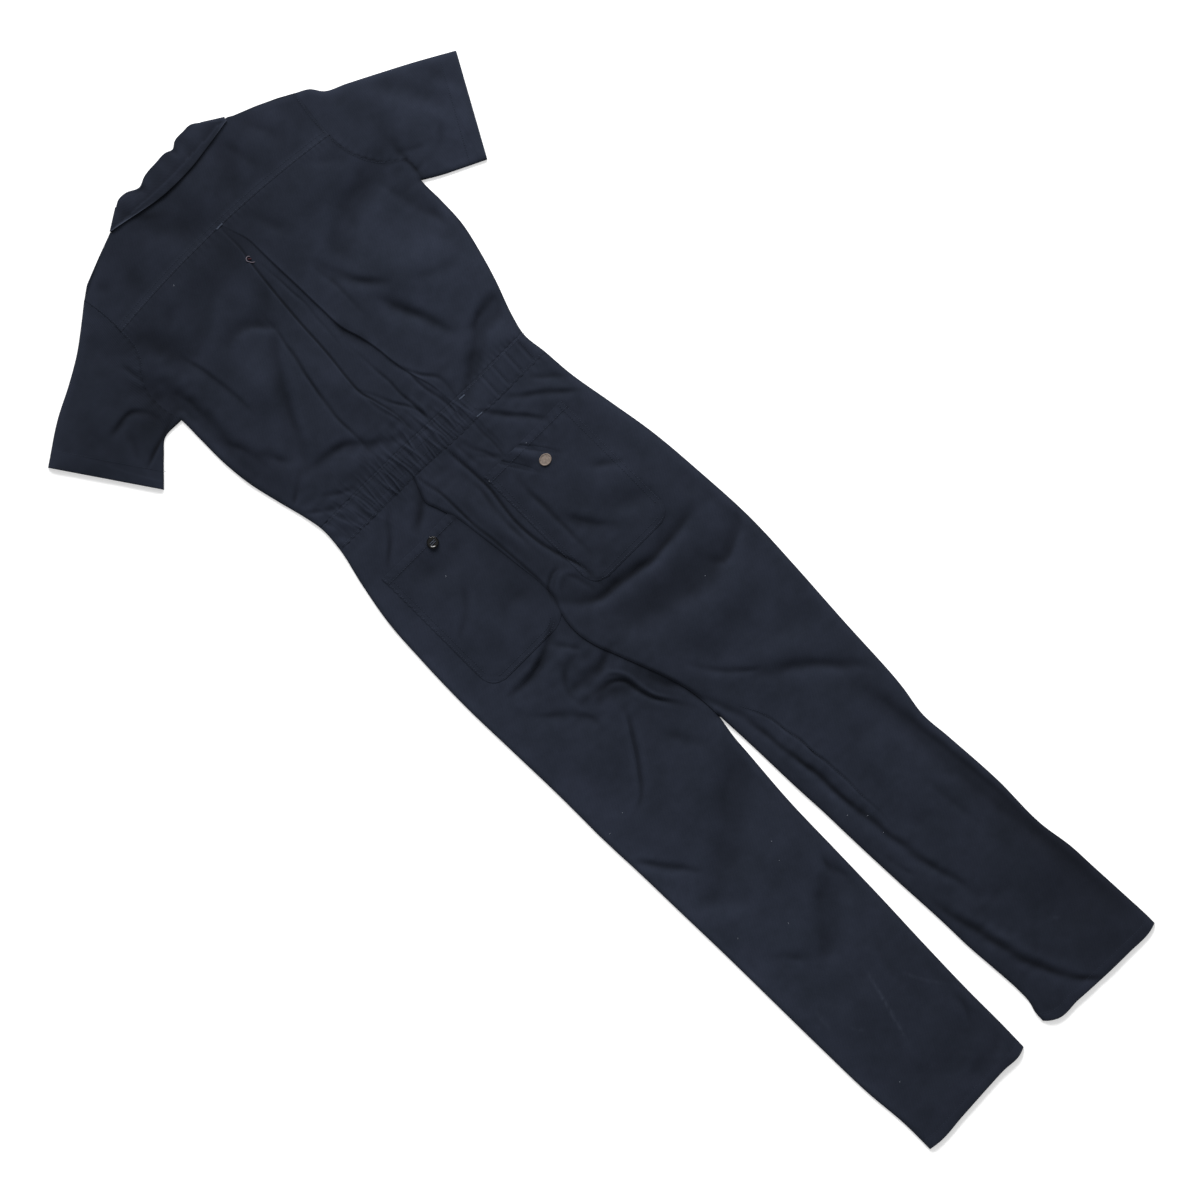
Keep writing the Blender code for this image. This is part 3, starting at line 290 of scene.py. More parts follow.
UPPER_CREASES = [
    # left of the pleat
    (14, -4.2, 0.2, [(-194, 600), (-188, 556), (-182, 516), (-183, 460), (-187, 390)]),
    (5.5, -1.8, 0.4, [(-148, 580), (-141, 546), (-134, 505), (-131, 446)]),
    (18, -3.0, 0, [(-206, 646), (-172, 614), (-154, 590), (-148, 560), (-146, 524)]),
    (12, -1.6, 0, [(-104, 626), (-130, 604), (-156, 584)]),
    (18, -3.6, 0.3, [(-30, 606), (-84, 590), (-120, 566), (-160, 540)]),
    (9, -3.6, -0.3, [(-110, 524), (-84, 540), (-60, 535), (-42, 517), (-32, 498)]),
    (12, -2.2, 0, [(-6, 570), (-28, 542), (-52, 516)]),
    (2.8, -1.5, 0, [(-36, 560), (-41, 510), (-46, 478), (-56, 430), (-62, 390), (-63, 340), (-64, 280)]),
    (13, -5.2, 0.3, [(-34, 524), (-62, 490), (-86, 454), (-106, 420), (-122, 390), (-146, 344)]),
    (8, -1.8, 0, [(-174, 428), (-156, 404), (-136, 372)]),
    (10, -3.4, 0.2, [(-156, 362), (-118, 359), (-90, 352), (-67, 336), (-44, 318), (-16, 296)]),
    (4, -1.2, 0, [(-188, 336), (-166, 350), (-136, 372)]),
    (4, -1.3, 0, [(-184, 334), (-160, 314), (-120, 288)]),
    (3.5, -1.1, 0, [(-158, 334), (-130, 314), (-104, 300)]),
    (6, -1.3, 0, [(-190, 478), (-172, 430), (-164, 380)]),
    # in and beside the pleat
    (2.4, -1.4, 0, [(-26, 410), (-21, 364), (-16, 342), (-11, 310), (-11, 250)]),
    (2.2, -1.5, 0, [(-28, 400), (-12, 366), (-2, 347), (12, 318), (17, 296), (17, 250)]),
    (2.2, -1.2, 0, [(8, 450), (12, 372), (13, 320), (16, 250)]),
    (2.6, -0.8, 0, [(1, 604), (5, 548), (6, 500), (3, 456), (0, 420)]),
    (8, -2.0, 0, [(14, 474), (19, 442), (30, 408)]),
    (2.8, -1.7, 0, [(27, 400), (37, 360), (46, 346), (57, 332), (58, 300), (56, 250)]),
    (2.2, -1.3, 0, [(34, 396), (37, 350), (40, 322), (44, 298), (44, 250)]),
    (4, -0.9, 0, [(46, 540), (51, 490), (47, 430)]),
    (10, -1.4, 0, [(22, 650), (44, 612), (60, 572)]),
    # right of the pleat
    (8, -3.2, 0.2, [(50, 544), (60, 506), (76, 477), (104, 446)]),
    (10, -3.6, 0.1, [(64, 474), (82, 428), (97, 392), (118, 330)]),
    (19, -6.4, 0.1, [(232, 564), (170, 557), (124, 546), (88, 524), (30, 490)]),
    (9, -1.8, 0, [(170, 560), (186, 508), (204, 440)]),
    (13, -5.8, -0.3, [(250, 372), (181, 346), (145, 342), (114, 322), (82, 300), (36, 264)]),
    (9, -1.0, 0, [(124, 630), (155, 607), (178, 590)]),
    (11, -1.2, 0, [(108, 446), (150, 420), (198, 414)]),
    # yoke
    (19, -2.8, 0, [(-90, 738), (-56, 700), (-28, 668), (14, 650)]),
    (17, -2.4, 0, [(90, 730), (54, 684), (20, 648)]),
    (18, -2.4, 0, [(-60, 736), (-104, 690), (-160, 640)]),
    (8, -1.2, 0, [(74, 722), (79, 694), (86, 660)]),
    (11, -1.0, 0, [(-164, 712), (-146, 680)]),
    (10, -1.2, 0, [(108, 718), (124, 690), (132, 656)]),
]
UPPER_SWELLS = table(
    "x y wide tall turn rise",
    (126, 456, 54, 40, -20, 7.4), (168, 396, 30, 34, 0, 2.0), (-100, 480, 38, 40, 15, 6.4),
    (-158, 450, 16, 60, 0, 2.0), (-84, 382, 24, 34, -35, 2.8), (150, 312, 36, 16, -22, 3.2),
    (18, 694, 28, 24, 0, 3.4), (-96, 694, 24, 22, 0, 2.0), (112, 684, 26, 30, 0, 2.6), (-38, 430, 14, 60, 0, 1.6),
    (116, 606, 50, 26, 0, 3.4), (-80, 630, 34, 14, 0, 1.6), (-92, 326, 36, 14, 0, 1.8), (62, 396, 14, 44, 0, 1.6),
    (-262, 604, 40, 22, 42, 2.4), (-300, 550, 26, 22, 40, 1.6), (262, 596, 34, 40, -40, 3.0),
    (300, 530, 24, 24, 0, 2.0),
)
SLEEVE_CREASES = [
    (5.5, -1.9, 0.2, [(-276, 556), (-250, 563), (-236, 562), (-225, 552), (-219, 534), (-218, 516)]),
    (3.2, -3.0, 0.3, [(-192, 524), (-214, 520), (-232, 515), (-248, 509), (-276, 498)]),
    (8, -1.6, 0, [(-284, 556), (-262, 560), (-240, 556)]),
    (7, -1.6, 0, [(-278, 508), (-262, 534), (-252, 558)]),
    (5.5, -1.3, 0, [(-206, 618), (-201, 594), (-197, 572)]),
    (12, -2.6, 0, [(-226, 600), (-208, 566), (-204, 530)]),
    (12, -0.7, 0, [(-218, 672), (-207, 640), (-198, 606)]),
    (12, -0.8, 0, [(-306, 590), (-288, 560), (-280, 520)]),
    (13, -2.8, 0, [(246, 650), (270, 616), (287, 588), (300, 562), (312, 528)]),
    (6, -0.9, 0, [(210, 562), (228, 552), (250, 536)]),
    (6, -0.9, 0, [(226, 590), (221, 560), (219, 536), (218, 490)]),
    (13, -0.6, 0, [(236, 612), (214, 584), (200, 556)]),
    (11, -0.5, 0, [(203, 682), (212, 640), (204, 606)]),
    (9, -1.4, 0, [(242, 514), (266, 529), (286, 556)]),
    (14, -1.4, 0, [(300, 612), (322, 580), (340, 556)]),
]


# ---------------------------------------------------------------- curves

def bell(distance, width):
    """1 at no distance, and falling away on both sides in a bell, to about a third at the width."""
    return np.exp(-(distance / width) ** 2)


def crest(distance, width):
    """1 at no distance, and falling away on both sides from a sharp top, to about a third at the width."""
    return np.exp(-np.abs(distance) / width)


def smooth(at, places, values):
    """A curve through the values: its slope at each is the one between the value's two neighbours."""
    at = np.clip(np.asarray(at, float), places[0], places[-1])
    slopes = np.gradient(values, places)
    i = np.clip(np.searchsorted(places, at, side="right") - 1, 0, len(places) - 2)
    step = places[i + 1] - places[i]
    t = (at - places[i]) / step
    from_start = (1 + 2 * t) * (1 - t) ** 2 * values[i] + t * (1 - t) ** 2 * step * slopes[i]
    from_end = t * t * (3 - 2 * t) * values[i + 1] - t * t * (1 - t) * step * slopes[i + 1]
    return from_start + from_end


def read(source, column, at):
    """The named column of a table as a smooth function of the table's first column."""
    return smooth(at, next(iter(source.values())), source[column])


def ramp(at, low, high):
    """0 up to low, 1 from high on, and a smooth S between them; low may be the larger."""
    t = np.clip((np.asarray(at, float) - low) / (high - low), 0, 1)
    return t * t * (3 - 2 * t)


def join(*parts):
    """Coordinates side by side as points, each spread to the shape of all."""
    return np.stack(np.broadcast_arrays(*parts), axis=-1)


def unit(vectors):
    """The vectors, each made 1 long."""
    return vectors / np.linalg.norm(vectors, axis=-1, keepdims=True)


def distances(points):
    """How far each point lies along the line through them all."""
    return np.concatenate([[0], np.cumsum(np.linalg.norm(np.diff(points, axis=0), axis=-1))])


def along(points, share):
    """Points at shares (0 to 1) of the length of a curve through the given points."""
    points = np.asarray(points, float)
    run = distances(points)
    return join(*(smooth(share, run / run[-1], points[:, k]) for k in (0, 1)))


def walk(points, step):
    """Points about a step apart along a curve through the given points."""
    return along(points, np.linspace(0, 1, max(2, int(round(distances(points)[-1] / step)) + 1)))


def yoke_seam(x):
    """The y of the yoke's lower seam: a shallow arc."""
    return YOKE_SEAM_Y - YOKE_SEAM_FALL * (x - YOKE_SEAM_X) ** 2


def body_edge(side, y):
    """The back's edge at y: the body's side, and the armhole seam above it."""
    return np.where(y > ARMPIT_Y, read(ARMHOLES[side], "x", y), read(BODY, side, y))


def leg_edges(side, y):
    """Outer edge of one half from waist to hem, and the inner edge of its leg below the crotch."""
    outer = np.where(y > CROTCH_Y, read(BODY, side, y), read(LEGS[side], "outer", y))
    return outer, read(LEGS[side], "inner", y)


def outline():
    """The garment's edge seen from above, as one closed line, with the hems moved out by the flare."""
    def side_line(source, column):
        y = np.linspace(source["y"][0], min(source["y"][-1], ARMPIT_Y), 24)
        return join(read(source, column, y), y - HEM_FLARE * (y < BELOW_HEMS))

    def sleeve_line(source, side):
        line = along(source[side], np.linspace(0, 1, 12))
        line[-1] += HEM_FLARE * unit(line[-1] - line[-2])
        return line

    return np.concatenate([
        side_line(LEGS["right"], "outer"),
        side_line(BODY, "right"),
        sleeve_line(SLEEVE_UNDER, "right"),
        sleeve_line(SLEEVE_OVER, "right")[::-1],
        join(ROLL["x"], ROLL["y"])[::-1],
        sleeve_line(SLEEVE_OVER, "left"),
        sleeve_line(SLEEVE_UNDER, "left")[::-1],
        side_line(BODY, "left")[::-1],
        side_line(LEGS["left"], "outer")[::-1],
        side_line(LEGS["left"], "inner"),
        side_line(LEGS["right"], "inner")[::-1],
    ])


OUTLINE = outline()
OUTLINE = np.concatenate([OUTLINE, OUTLINE[:1]])


# ---------------------------------------------------------------- heights

def line_distance(x, y, start, end):
    """Distance to a straight line between two points, which side of it, and how far along it the foot lies."""
    dx, dy = end[0] - start[0], end[1] - start[1]
    length2 = max(dx * dx + dy * dy, 1e-9)
    near = np.clip(((x - start[0]) * dx + (y - start[1]) * dy) / length2, 0, 1)
    side = (x - start[0]) * dy - (y - start[1]) * dx
    return np.hypot(x - start[0] - near * dx, y - start[1] - near * dy), side, near


def path_distance(x, y, path):
    """Distance to a bent line, the side of it (+1 on its right), and the share of its segments passed."""
    best = np.full(np.shape(x), np.inf)
    side = np.zeros(np.shape(x))
    passed = np.zeros(np.shape(x))
    for k, (start, end) in enumerate(zip(path[:-1], path[1:])):
        away, which, near = line_distance(x, y, start, end)
        closer = away < best
        best = np.where(closer, away, best)
        side = np.where(closer, np.sign(which), side)
        passed = np.where(closer, (k + near) / (len(path) - 1), passed)
    return best, side, passed


BROAD = 12.0                                    # troughs narrower than this are soft Vs, not bells
V_SLOPE, V_ROUNDING, V_LEVEL = 1.9, 0.4, 0.632  # and that is how steep and how round they are
SHOULDER_DEPTH, SHOULDER_SPREAD = 0.3, 5        # the low shoulder that every crease has on both sides
WANDER = 0.8                                    # how far a crease's line strays from its points
FADE_IN, FADE_OUT = 0.42, 0.62                  # the shares of its length between which it is whole
SOFT_MEET = 1.8                                 # how sharply the back comes to rest on the front, per mm
PUCKER_WAVE = 8.5                               # from one small wave that a seam draws in to the next
HOLLOW_DARK = 0.36                              # how much painted shade takes from the cloth's colour in a full hollow


def creases(x, y, rows):
    """The sum of the creases: each falls off from its line to a low shoulder on both sides.

    A narrow trough is a soft V, as a fold in twill is, and a broad one or a ridge a bell. It fades at both ends,
    and its line, width and depth waver along its length, so no two look alike.
    """
    x, y = np.broadcast_arrays(x, y)
    uneven = MIDDLE_WAVES(x + 150, y - 60)
    x, y = x + WANDER * MIDDLE_WAVES(y, x), y + WANDER * MIDDLE_WAVES(x + 90, y)
    height = np.zeros(x.shape)
    for k, (width, rise, lean, points) in enumerate(rows):
        path = walk(points, max(6.0, width * 1.2))
        reach = width * (1 + abs(lean)) * 4
        low, high = path.min(axis=0) - reach, path.max(axis=0) + reach
        near = (x > low[0]) & (x < high[0]) & (y > low[1]) & (y < high[1])
        if not near.any():
            continue
        away, side, passed = path_distance(x[near], y[near], path)
        rough = min(1.0, 8.0 / width)
        waver = 1 + 0.2 * rough * np.sin(passed * (5 + k % 4) + k * 1.7)
        wide = width * (1 + lean * side) * (1.05 - 0.3 * (waver - 1) + 0.15 * rough * uneven[near])
        q = (away / wide) ** 2
        form = np.exp(-V_SLOPE * (np.sqrt(q + V_ROUNDING) - V_LEVEL)) if rise < 0 and width < BROAD else np.exp(-q)
        form = (1 + SHOULDER_DEPTH) * form - SHOULDER_DEPTH * np.exp(-q / SHOULDER_SPREAD)
        ends = ramp(passed, 0, FADE_IN) * ramp(passed, 1, FADE_OUT)
        height[near] += rise * form * ends * waver * (1 - 0.18 * rough * uneven[near])
    return height


def swells(x, y, rows):
    """The sum of the swells: soft oval humps, each turned by its angle in degrees."""
    height = np.zeros(np.shape(x + y))
    for x0, y0, wide, tall, turn, rise in zip(*rows.values()):
        c, s = math.cos(math.radians(turn)), math.sin(math.radians(turn))
        across, up = (x - x0) * c + (y - y0) * s, (y - y0) * c - (x - x0) * s
        height = height + rise * np.exp(-(across / wide) ** 2 - (up / tall) ** 2)
    return height


def ripples(seed, wavelength):
    """A smooth random surface: plane waves of about one length in all directions, heights about -1 to 1."""
    source, waves = np.random.default_rng(seed), 14
    angle = source.uniform(0, 2 * math.pi, waves)
    number = 2 * math.pi / (wavelength * source.uniform(0.7, 1.4, waves))
    phase = source.uniform(0, 2 * math.pi, waves)

    def height(x, y):
        total = np.zeros(np.shape(x + y))
        for a, k, p in zip(angle, number, phase):
            total = total + np.sin(k * (x * math.cos(a) + y * math.sin(a)) + p)
        return total * math.sqrt(2 / waves) / 1.6

    return height


LONG_WAVES, MIDDLE_WAVES, SHORT_WAVES = ripples(3, 120), ripples(5, 47), ripples(8, 19)

# Places where the cloth is crumpled small
CRUMPLED = table(
    "x y wide tall turn rise",
    (-60, -70, 60, 60, 0, 0.30), (0, 322, 130, 26, 0, 0.28), (-180, 545, 26, 60, 0, 0.30), (40, 40, 40, 40, 0, 0.25),
    (-150, 320, 50, 40, 0, 0.25), (0, 240, 120, 26, 0, 0.22), (50, -340, 24, 130, 0, 0.20),
    (216, 530, 30, 30, 0, 0.25), (80, 180, 50, 30, 0, 0.25), (60, -640, 30, 110, 0, 0.15),
    (-130, -10, 50, 30, 0, 0.2),
)


def crumple(x, y):
    """What washing leaves in the cloth: long soft swells, shorter ones, and small ones in places."""
    small = 0.05 + swells(x, y, CRUMPLED)
    return 0.7 * LONG_WAVES(x, y) + 0.32 * MIDDLE_WAVES(x, y) + small * SHORT_WAVES(x, y)


def collar_lift(x, y):
    """How far the front lies above the floor, where the collar's front falls are under it."""
    across = ramp(np.abs(x), COLLAR_UNDER_X + COLLAR_UNDER_SLOPE, COLLAR_UNDER_X)
    return COLLAR_LIFT * across * ramp(y, COLLAR_UNDER_Y - COLLAR_UNDER_SLOPE, COLLAR_UNDER_Y)


GATHER_COUNT, GATHERS_LEFT, GATHERS_WIDE = 52, -158, 218


def drawn_gathers():
    """The elastic's gathers: place, width, rise, reach above and below the band, slant, and where it is highest."""
    def draw(low, high):
        return RANDOM.uniform(low, high, GATHER_COUNT)

    x = GATHERS_LEFT + GATHERS_WIDE * (np.arange(GATHER_COUNT) + draw(0, 1)) / GATHER_COUNT
    width = draw(0.9, 2.3)
    rise = draw(0.2, 1.15) * ramp(x, -175, -120)
    above = 6 + 56 * draw(0, 1) ** 1.5
    below = 4 + 36 * draw(0, 1) ** 2
    slant = draw(-0.13, 0.13) - 0.25 * ramp(x, -90, -150)
    return list(zip(x, width, rise, above, below, slant, draw(-16, 16)))


GATHERS = drawn_gathers()


def gathers(x, y):
    """Ridges drawn up by the elastic: bells across wavering lines, each ending at its own distance from the band."""
    height = np.zeros(np.shape(x + y))
    for k, (place, width, rise, above, below, slant, highest) in enumerate(GATHERS):
        line = place + slant * (y - WAIST_MIDDLE)
        line = line + (0.8 + 0.1 * (k % 7)) * np.sin((y - WAIST_MIDDLE) / (7 + k % 4) + k * 1.3)
        uneven = 0.45 + 0.8 * bell(y - WAIST_MIDDLE - highest, 14)
        uneven = uneven + 0.55 * ramp(y, WAIST_HIGH - 6, WAIST_HIGH + 8)
        ends = ramp(y, WAIST_HIGH + above, WAIST_HIGH - 4) * ramp(y, WAIST_LOW - below, WAIST_LOW + 4)
        height = height + rise * uneven * bell(x - line, width) * ends
    return height


def pucker(away, run, seed, height=0.35, reach=6.0):
    """Small waves that a sewn seam draws into the cloth beside it: away from the seam, run along it."""
    wave = np.sin(run * 2 * math.pi / PUCKER_WAVE + 1.8 * np.sin(run / 17.0 + seed))
    return height * crest(away, reach) * wave * (0.6 + 0.4 * np.sin(run / 31.0 + 2 * seed))


def seam_dip(away, depth, reach=1.3):
    """The groove of a seam, where the cloth turns down to its stitching."""
    return -depth * bell(away, reach)


def base_top(x, y):
    """Upper face of the back with no creases, round up from the edge and fuller inside, and 0 to 1 inwards."""
    away = path_distance(x, y, OUTLINE)[0]
    turn = np.clip(away / EDGE_REACH, 0, 1)
    lift = COLLAR_LIFT * ramp(np.abs(x), 190, 90) * ramp(y, 520, 630)
    height = EDGE_TOP + lift + EDGE_RISE * np.sqrt(1 - (1 - turn) ** 2)
    return height + BODY_RISE * (1 - np.exp(-away / BODY_REACH)), ramp(away, 0, 16)


def front_lap_clearance(x, y):
    """Least height over the lapped fronts."""
    return EDGE_TOP + collar_lift(x, y) + LAYER * ramp(y, 0, 20) * ramp(x, -60, -42) * ramp(x, 40, 20)


def back_top(x, y, rows, humps):
    """Upper face of the back: the rounded form, the given creases and swells, the crumple and the gathers.

    It is let down no further than the fronts, into which it turns softly.
    """
    height, inside = base_top(x, y)
    relief = creases(x, y, rows) + swells(x, y, humps) + crumple(x, y)
    height = height + relief * (0.3 + 0.7 * inside) + gathers(x, y)
    least = front_lap_clearance(x, y)
    return least + np.log1p(np.exp((height - least) * SOFT_MEET)) / SOFT_MEET


def body_top(x, y):
    """Upper face of all that lies above the waist."""
    return back_top(x, y, UPPER_CREASES + SLEEVE_CREASES, UPPER_SWELLS)


def leg_top(side, x, y):
    """Seat and leg: the right one raised at its lapped edge, which turns down, with a groove beside it."""
    height = back_top(x, y, SEAT_CREASES + LEG_CREASES, SEAT_SWELLS)
    height = height + pucker(y - WAIST_LOW, x, 1.0) + seam_dip(y - WAIST_LOW, 0.12)
    if side == "right":
        edge, groove, fold = (x - read(SEAT, column, y) for column in ("edge", "groove", "fold"))
        lift = SEAT_LIFT * ramp(edge, SEAT_LIFT_REACH, SEAT_LIFT_FLAT) - SEAT_EDGE_DEPTH * bell(edge, 2.2)
        height = height + lift * ramp(y, CROTCH_Y - 60, CROTCH_Y + 10)
        height = height - SEAT_GROOVE_DEPTH * bell(groove, 1.7) * ramp(y, 50, 90) * ramp(y, 262, 254)
        height = height - SEAT_FOLD_DEPTH * crest(fold, 2.4) * ramp(y, 8, 60) * ramp(y, 262, 245)
    return height


def beyond_pocket(side, x, y):
    """Distance outwards from a pocket's sides and rounded lower edge; the left one runs on under the seat seam."""
    left, right = POCKET_SIDES[side]
    past_x = left + POCKET_CORNER - x
    if side == "right":
        past_x = np.maximum(past_x, x - right + POCKET_CORNER)
    return np.hypot(np.maximum(past_x, 0), np.maximum(POCKET_LOW + POCKET_CORNER - y, 0)) - POCKET_CORNER


def pocket_top(side, x, y):
    """A pocket: the panel's form a layer up, its folded edges firm and its middle a little slack."""
    height = leg_top(side, x, y) + 0.1 + (POCKET_LAYER - 0.1) * ramp(beyond_pocket(side, x, y), -1, -14)
    height = height + swells(x, y, POCKET_SWELLS[side])
    if side == "right":
        opening = ramp(y, 150, 186) * ramp(y, POCKET_TOP + 8, POCKET_TOP - 4)
        for place, lean, width, rise in POCKET_FOLDS:
            height = height + rise * bell(x - place - (POCKET_TOP - y) * lean, width) * opening
    return height + 0.45 * ramp(y, POCKET_HEM_Y - 1.5, POCKET_HEM_Y + 1.5) + pucker(y - POCKET_HEM_Y, x, 2.0, 0.25)


def band_top(x, y):
    """Waistband: the back's form with the gathers at their highest, and four upright rows right of them."""
    height = back_top(x, y, SEAT_CREASES + UPPER_CREASES, UPPER_SWELLS)
    inside = np.minimum(y - WAIST_LOW, WAIST_HIGH - y)
    drawn = ramp(x, ELASTIC_LEFT - 20, ELASTIC_LEFT + 4) * ramp(x, ELASTIC_RIGHT + 6, ELASTIC_RIGHT)
    height = height + 0.5 * gathers(x, y) * drawn + (0.4 + 0.4 * drawn) * ramp(inside, 0, 9)
    for place in UPRIGHT_GROOVES:
        away = x - place - (y - UPRIGHT_MIDDLE) * UPRIGHT_LEAN
        height = height + 0.4 * bell(away + 4, 2.6) - 0.7 * bell(away, 2.6) * ramp(inside, 1, 8)
    slack = ramp(x, ELASTIC_LEFT + 4, ELASTIC_LEFT - 8)
    height = height + 0.4 * slack * SHORT_WAVES(x * 1.5 + y * 0.7, y * 0.5)
    return height + seam_dip(inside, 0.12) + pucker(inside, x, 3.0, 0.3, 4.0) * (1 - drawn)


def upper_top(x, y):
    """Upper back: the back's form, let down between the two folds of the inverted pleat."""
    left, right, depth = x - read(PLEAT, "left", y), x - read(PLEAT, "right", y), read(PLEAT, "depth", y)
    inside = ramp(left, -0.8, 1.4) * ramp(right, 0.8, -1.4)
    proud = crest(left, 9) * ramp(left, 1.0, -1.5) + crest(right, 9) * ramp(right, -1.0, 1.5)
    height = body_top(x, y) + depth * (0.6 * proud - 0.8 * (inside + 0.6 * bell(left - 1.4, 1.6)))
    height = height + seam_dip(yoke_seam(x) - y, 0.3) + pucker(yoke_seam(x) - y, x, 4.0)
    height = height + seam_dip(y - WAIST_HIGH, 0.15) + pucker(y - WAIST_HIGH, x, 5.0)
    return np.maximum(height, front_lap_clearance(x, y) + 0.2)


def yoke_top(x, y):
    """Yoke: the back's form, its lower edge a little proud where the seam is turned under it."""
    above = y - yoke_seam(x)
    return body_top(x, y) + 0.25 * ramp(above, 12, 8) + pucker(above, x, 4.0) + seam_dip(above, 0.3, 0.8)


def sleeve_top(side, x, y):
    """A sleeve's upper face: the back's form, dipped at the right armhole's seam and a little proud at the left."""
    seam = walk(join(ARMHOLES[side]["x"], ARMHOLES[side]["y"]), 6)
    away, _, passed = path_distance(x, y, seam)
    return body_top(x, y) + seam_dip(away, -0.06 if side == "left" else 0.1) + pucker(away, passed * 190, 6.0)


def mean_around(values, steps):
    """The mean of a grid over a square of steps cells each way, taken twice, from running sums."""
    side = 2 * steps + 1
    for _ in range(2):
        padded = np.pad(values, ((steps + 1, steps), (steps + 1, steps)), mode="edge")
        sums = padded.cumsum(axis=0).cumsum(axis=1)
        values = (sums[side:, side:] - sums[:-side, side:] - sums[side:, :-side] + sums[:-side, :-side]) / side ** 2
    return values


def hollows(height, step):
    """How far each point lies below the cloth around it, near by, further off and far off: below 0 on a ridge."""
    total = np.zeros(height.shape)
    for reach, full, share in ((2.6, 0.5, 0.4), (6.5, 1.3, 0.4), (14.0, 2.6, 0.35)):
        below = mean_around(height, max(1, round(reach / step))) - height
        total = total + share * np.clip(below / full, -0.35, 1)
    return total


# Broad painted light and shade: where the light lies the cloth's colour is made lighter, and darker where it lies
# less
PAINTED_LIGHT_AND_SHADE = table(
    "x y wide tall turn rise",
    (-214, -330, 62, 330, 0, 0.42), (-208, 120, 40, 170, 0, 0.34), (150, 430, 70, 90, 0, 0.20),
    (296, 520, 60, 70, 0, 0.30), (-226, 530, 40, 36, 0, -0.26), (178, -640, 70, 130, 0, -0.29),
    (-30, -740, 60, 110, 0, -0.16), (0, 90, 60, 150, 0, -0.15), (-20, 730, 150, 60, 0, -0.18),
    (190, 150, 36, 120, 0, 0.14), (-170, 270, 40, 40, 0, 0.15), (-40, 620, 120, 40, 0, -0.12),
    (70, -330, 60, 160, 0, 0.10), (20, -560, 30, 120, 0, -0.06), (-290, 560, 70, 60, 0, -0.14),
    (-180, 610, 50, 60, 0, -0.12), (0, 620, 26, 40, 0, -0.12), (-165, 400, 20, 30, 0, -0.14),
    (288, 476, 34, 22, 0, 0.16), (322, 562, 24, 28, 0, -0.12), (116, 396, 28, 34, 0, 0.12),
    (-38, 371, 11, 13, 0, -0.12), (176, 360, 40, 20, 0, 0.06), (76, -50, 66, 26, -8, -0.22),
    (152, -66, 30, 9, 24, -0.08), (120, 0, 40, 14, 0, -0.10), (-140, -476, 60, 70, 0, 0.14),
    (-190, -560, 24, 40, 0, 0.06), (160, -520, 34, 44, 0, -0.10), (200, -440, 20, 30, 0, 0.12),
    (-62, -94, 27, 14, -38, -0.26), (-12, -124, 9, 22, 15, -0.2), (-44, -58, 24, 7, 12, -0.18),
    (170, -705, 60, 40, 0, -0.08), (-110, 198, 48, 5, 0, 0.07), (22, 198, 9, 5, 0, 0.08), (60, 195, 13, 6, 0, 0.12),
    (128, 193, 15, 7, 0, 0.13), (20, 680, 190, 62, 0, -0.09), (-130, 550, 80, 80, 0, -0.08),
    (-264, 590, 60, 60, 0, -0.07), (-20, 560, 60, 60, 0, -0.05), (-140, -300, 80, 230, 0, 0.08),
    (-100, -456, 56, 36, 0, 0.08), (-90, -296, 44, 40, 0, 0.05), (120, -78, 60, 24, 0, -0.11),
    (84, 28, 60, 26, 0, -0.08), (104, -694, 60, 50, 0, -0.08), (192, -440, 18, 120, 0, 0.2),
    (-110, 40, 60, 40, 0, 0.04), (-184, 440, 28, 80, 0, -0.13), (198, 500, 26, 60, 0, -0.14),
    (100, 404, 34, 34, 0, 0.07), (-60, -456, 40, 34, 0, 0.1), (-76, 460, 40, 50, 0, 0.05),
    (4, 620, 200, 30, 0, -0.05),
)
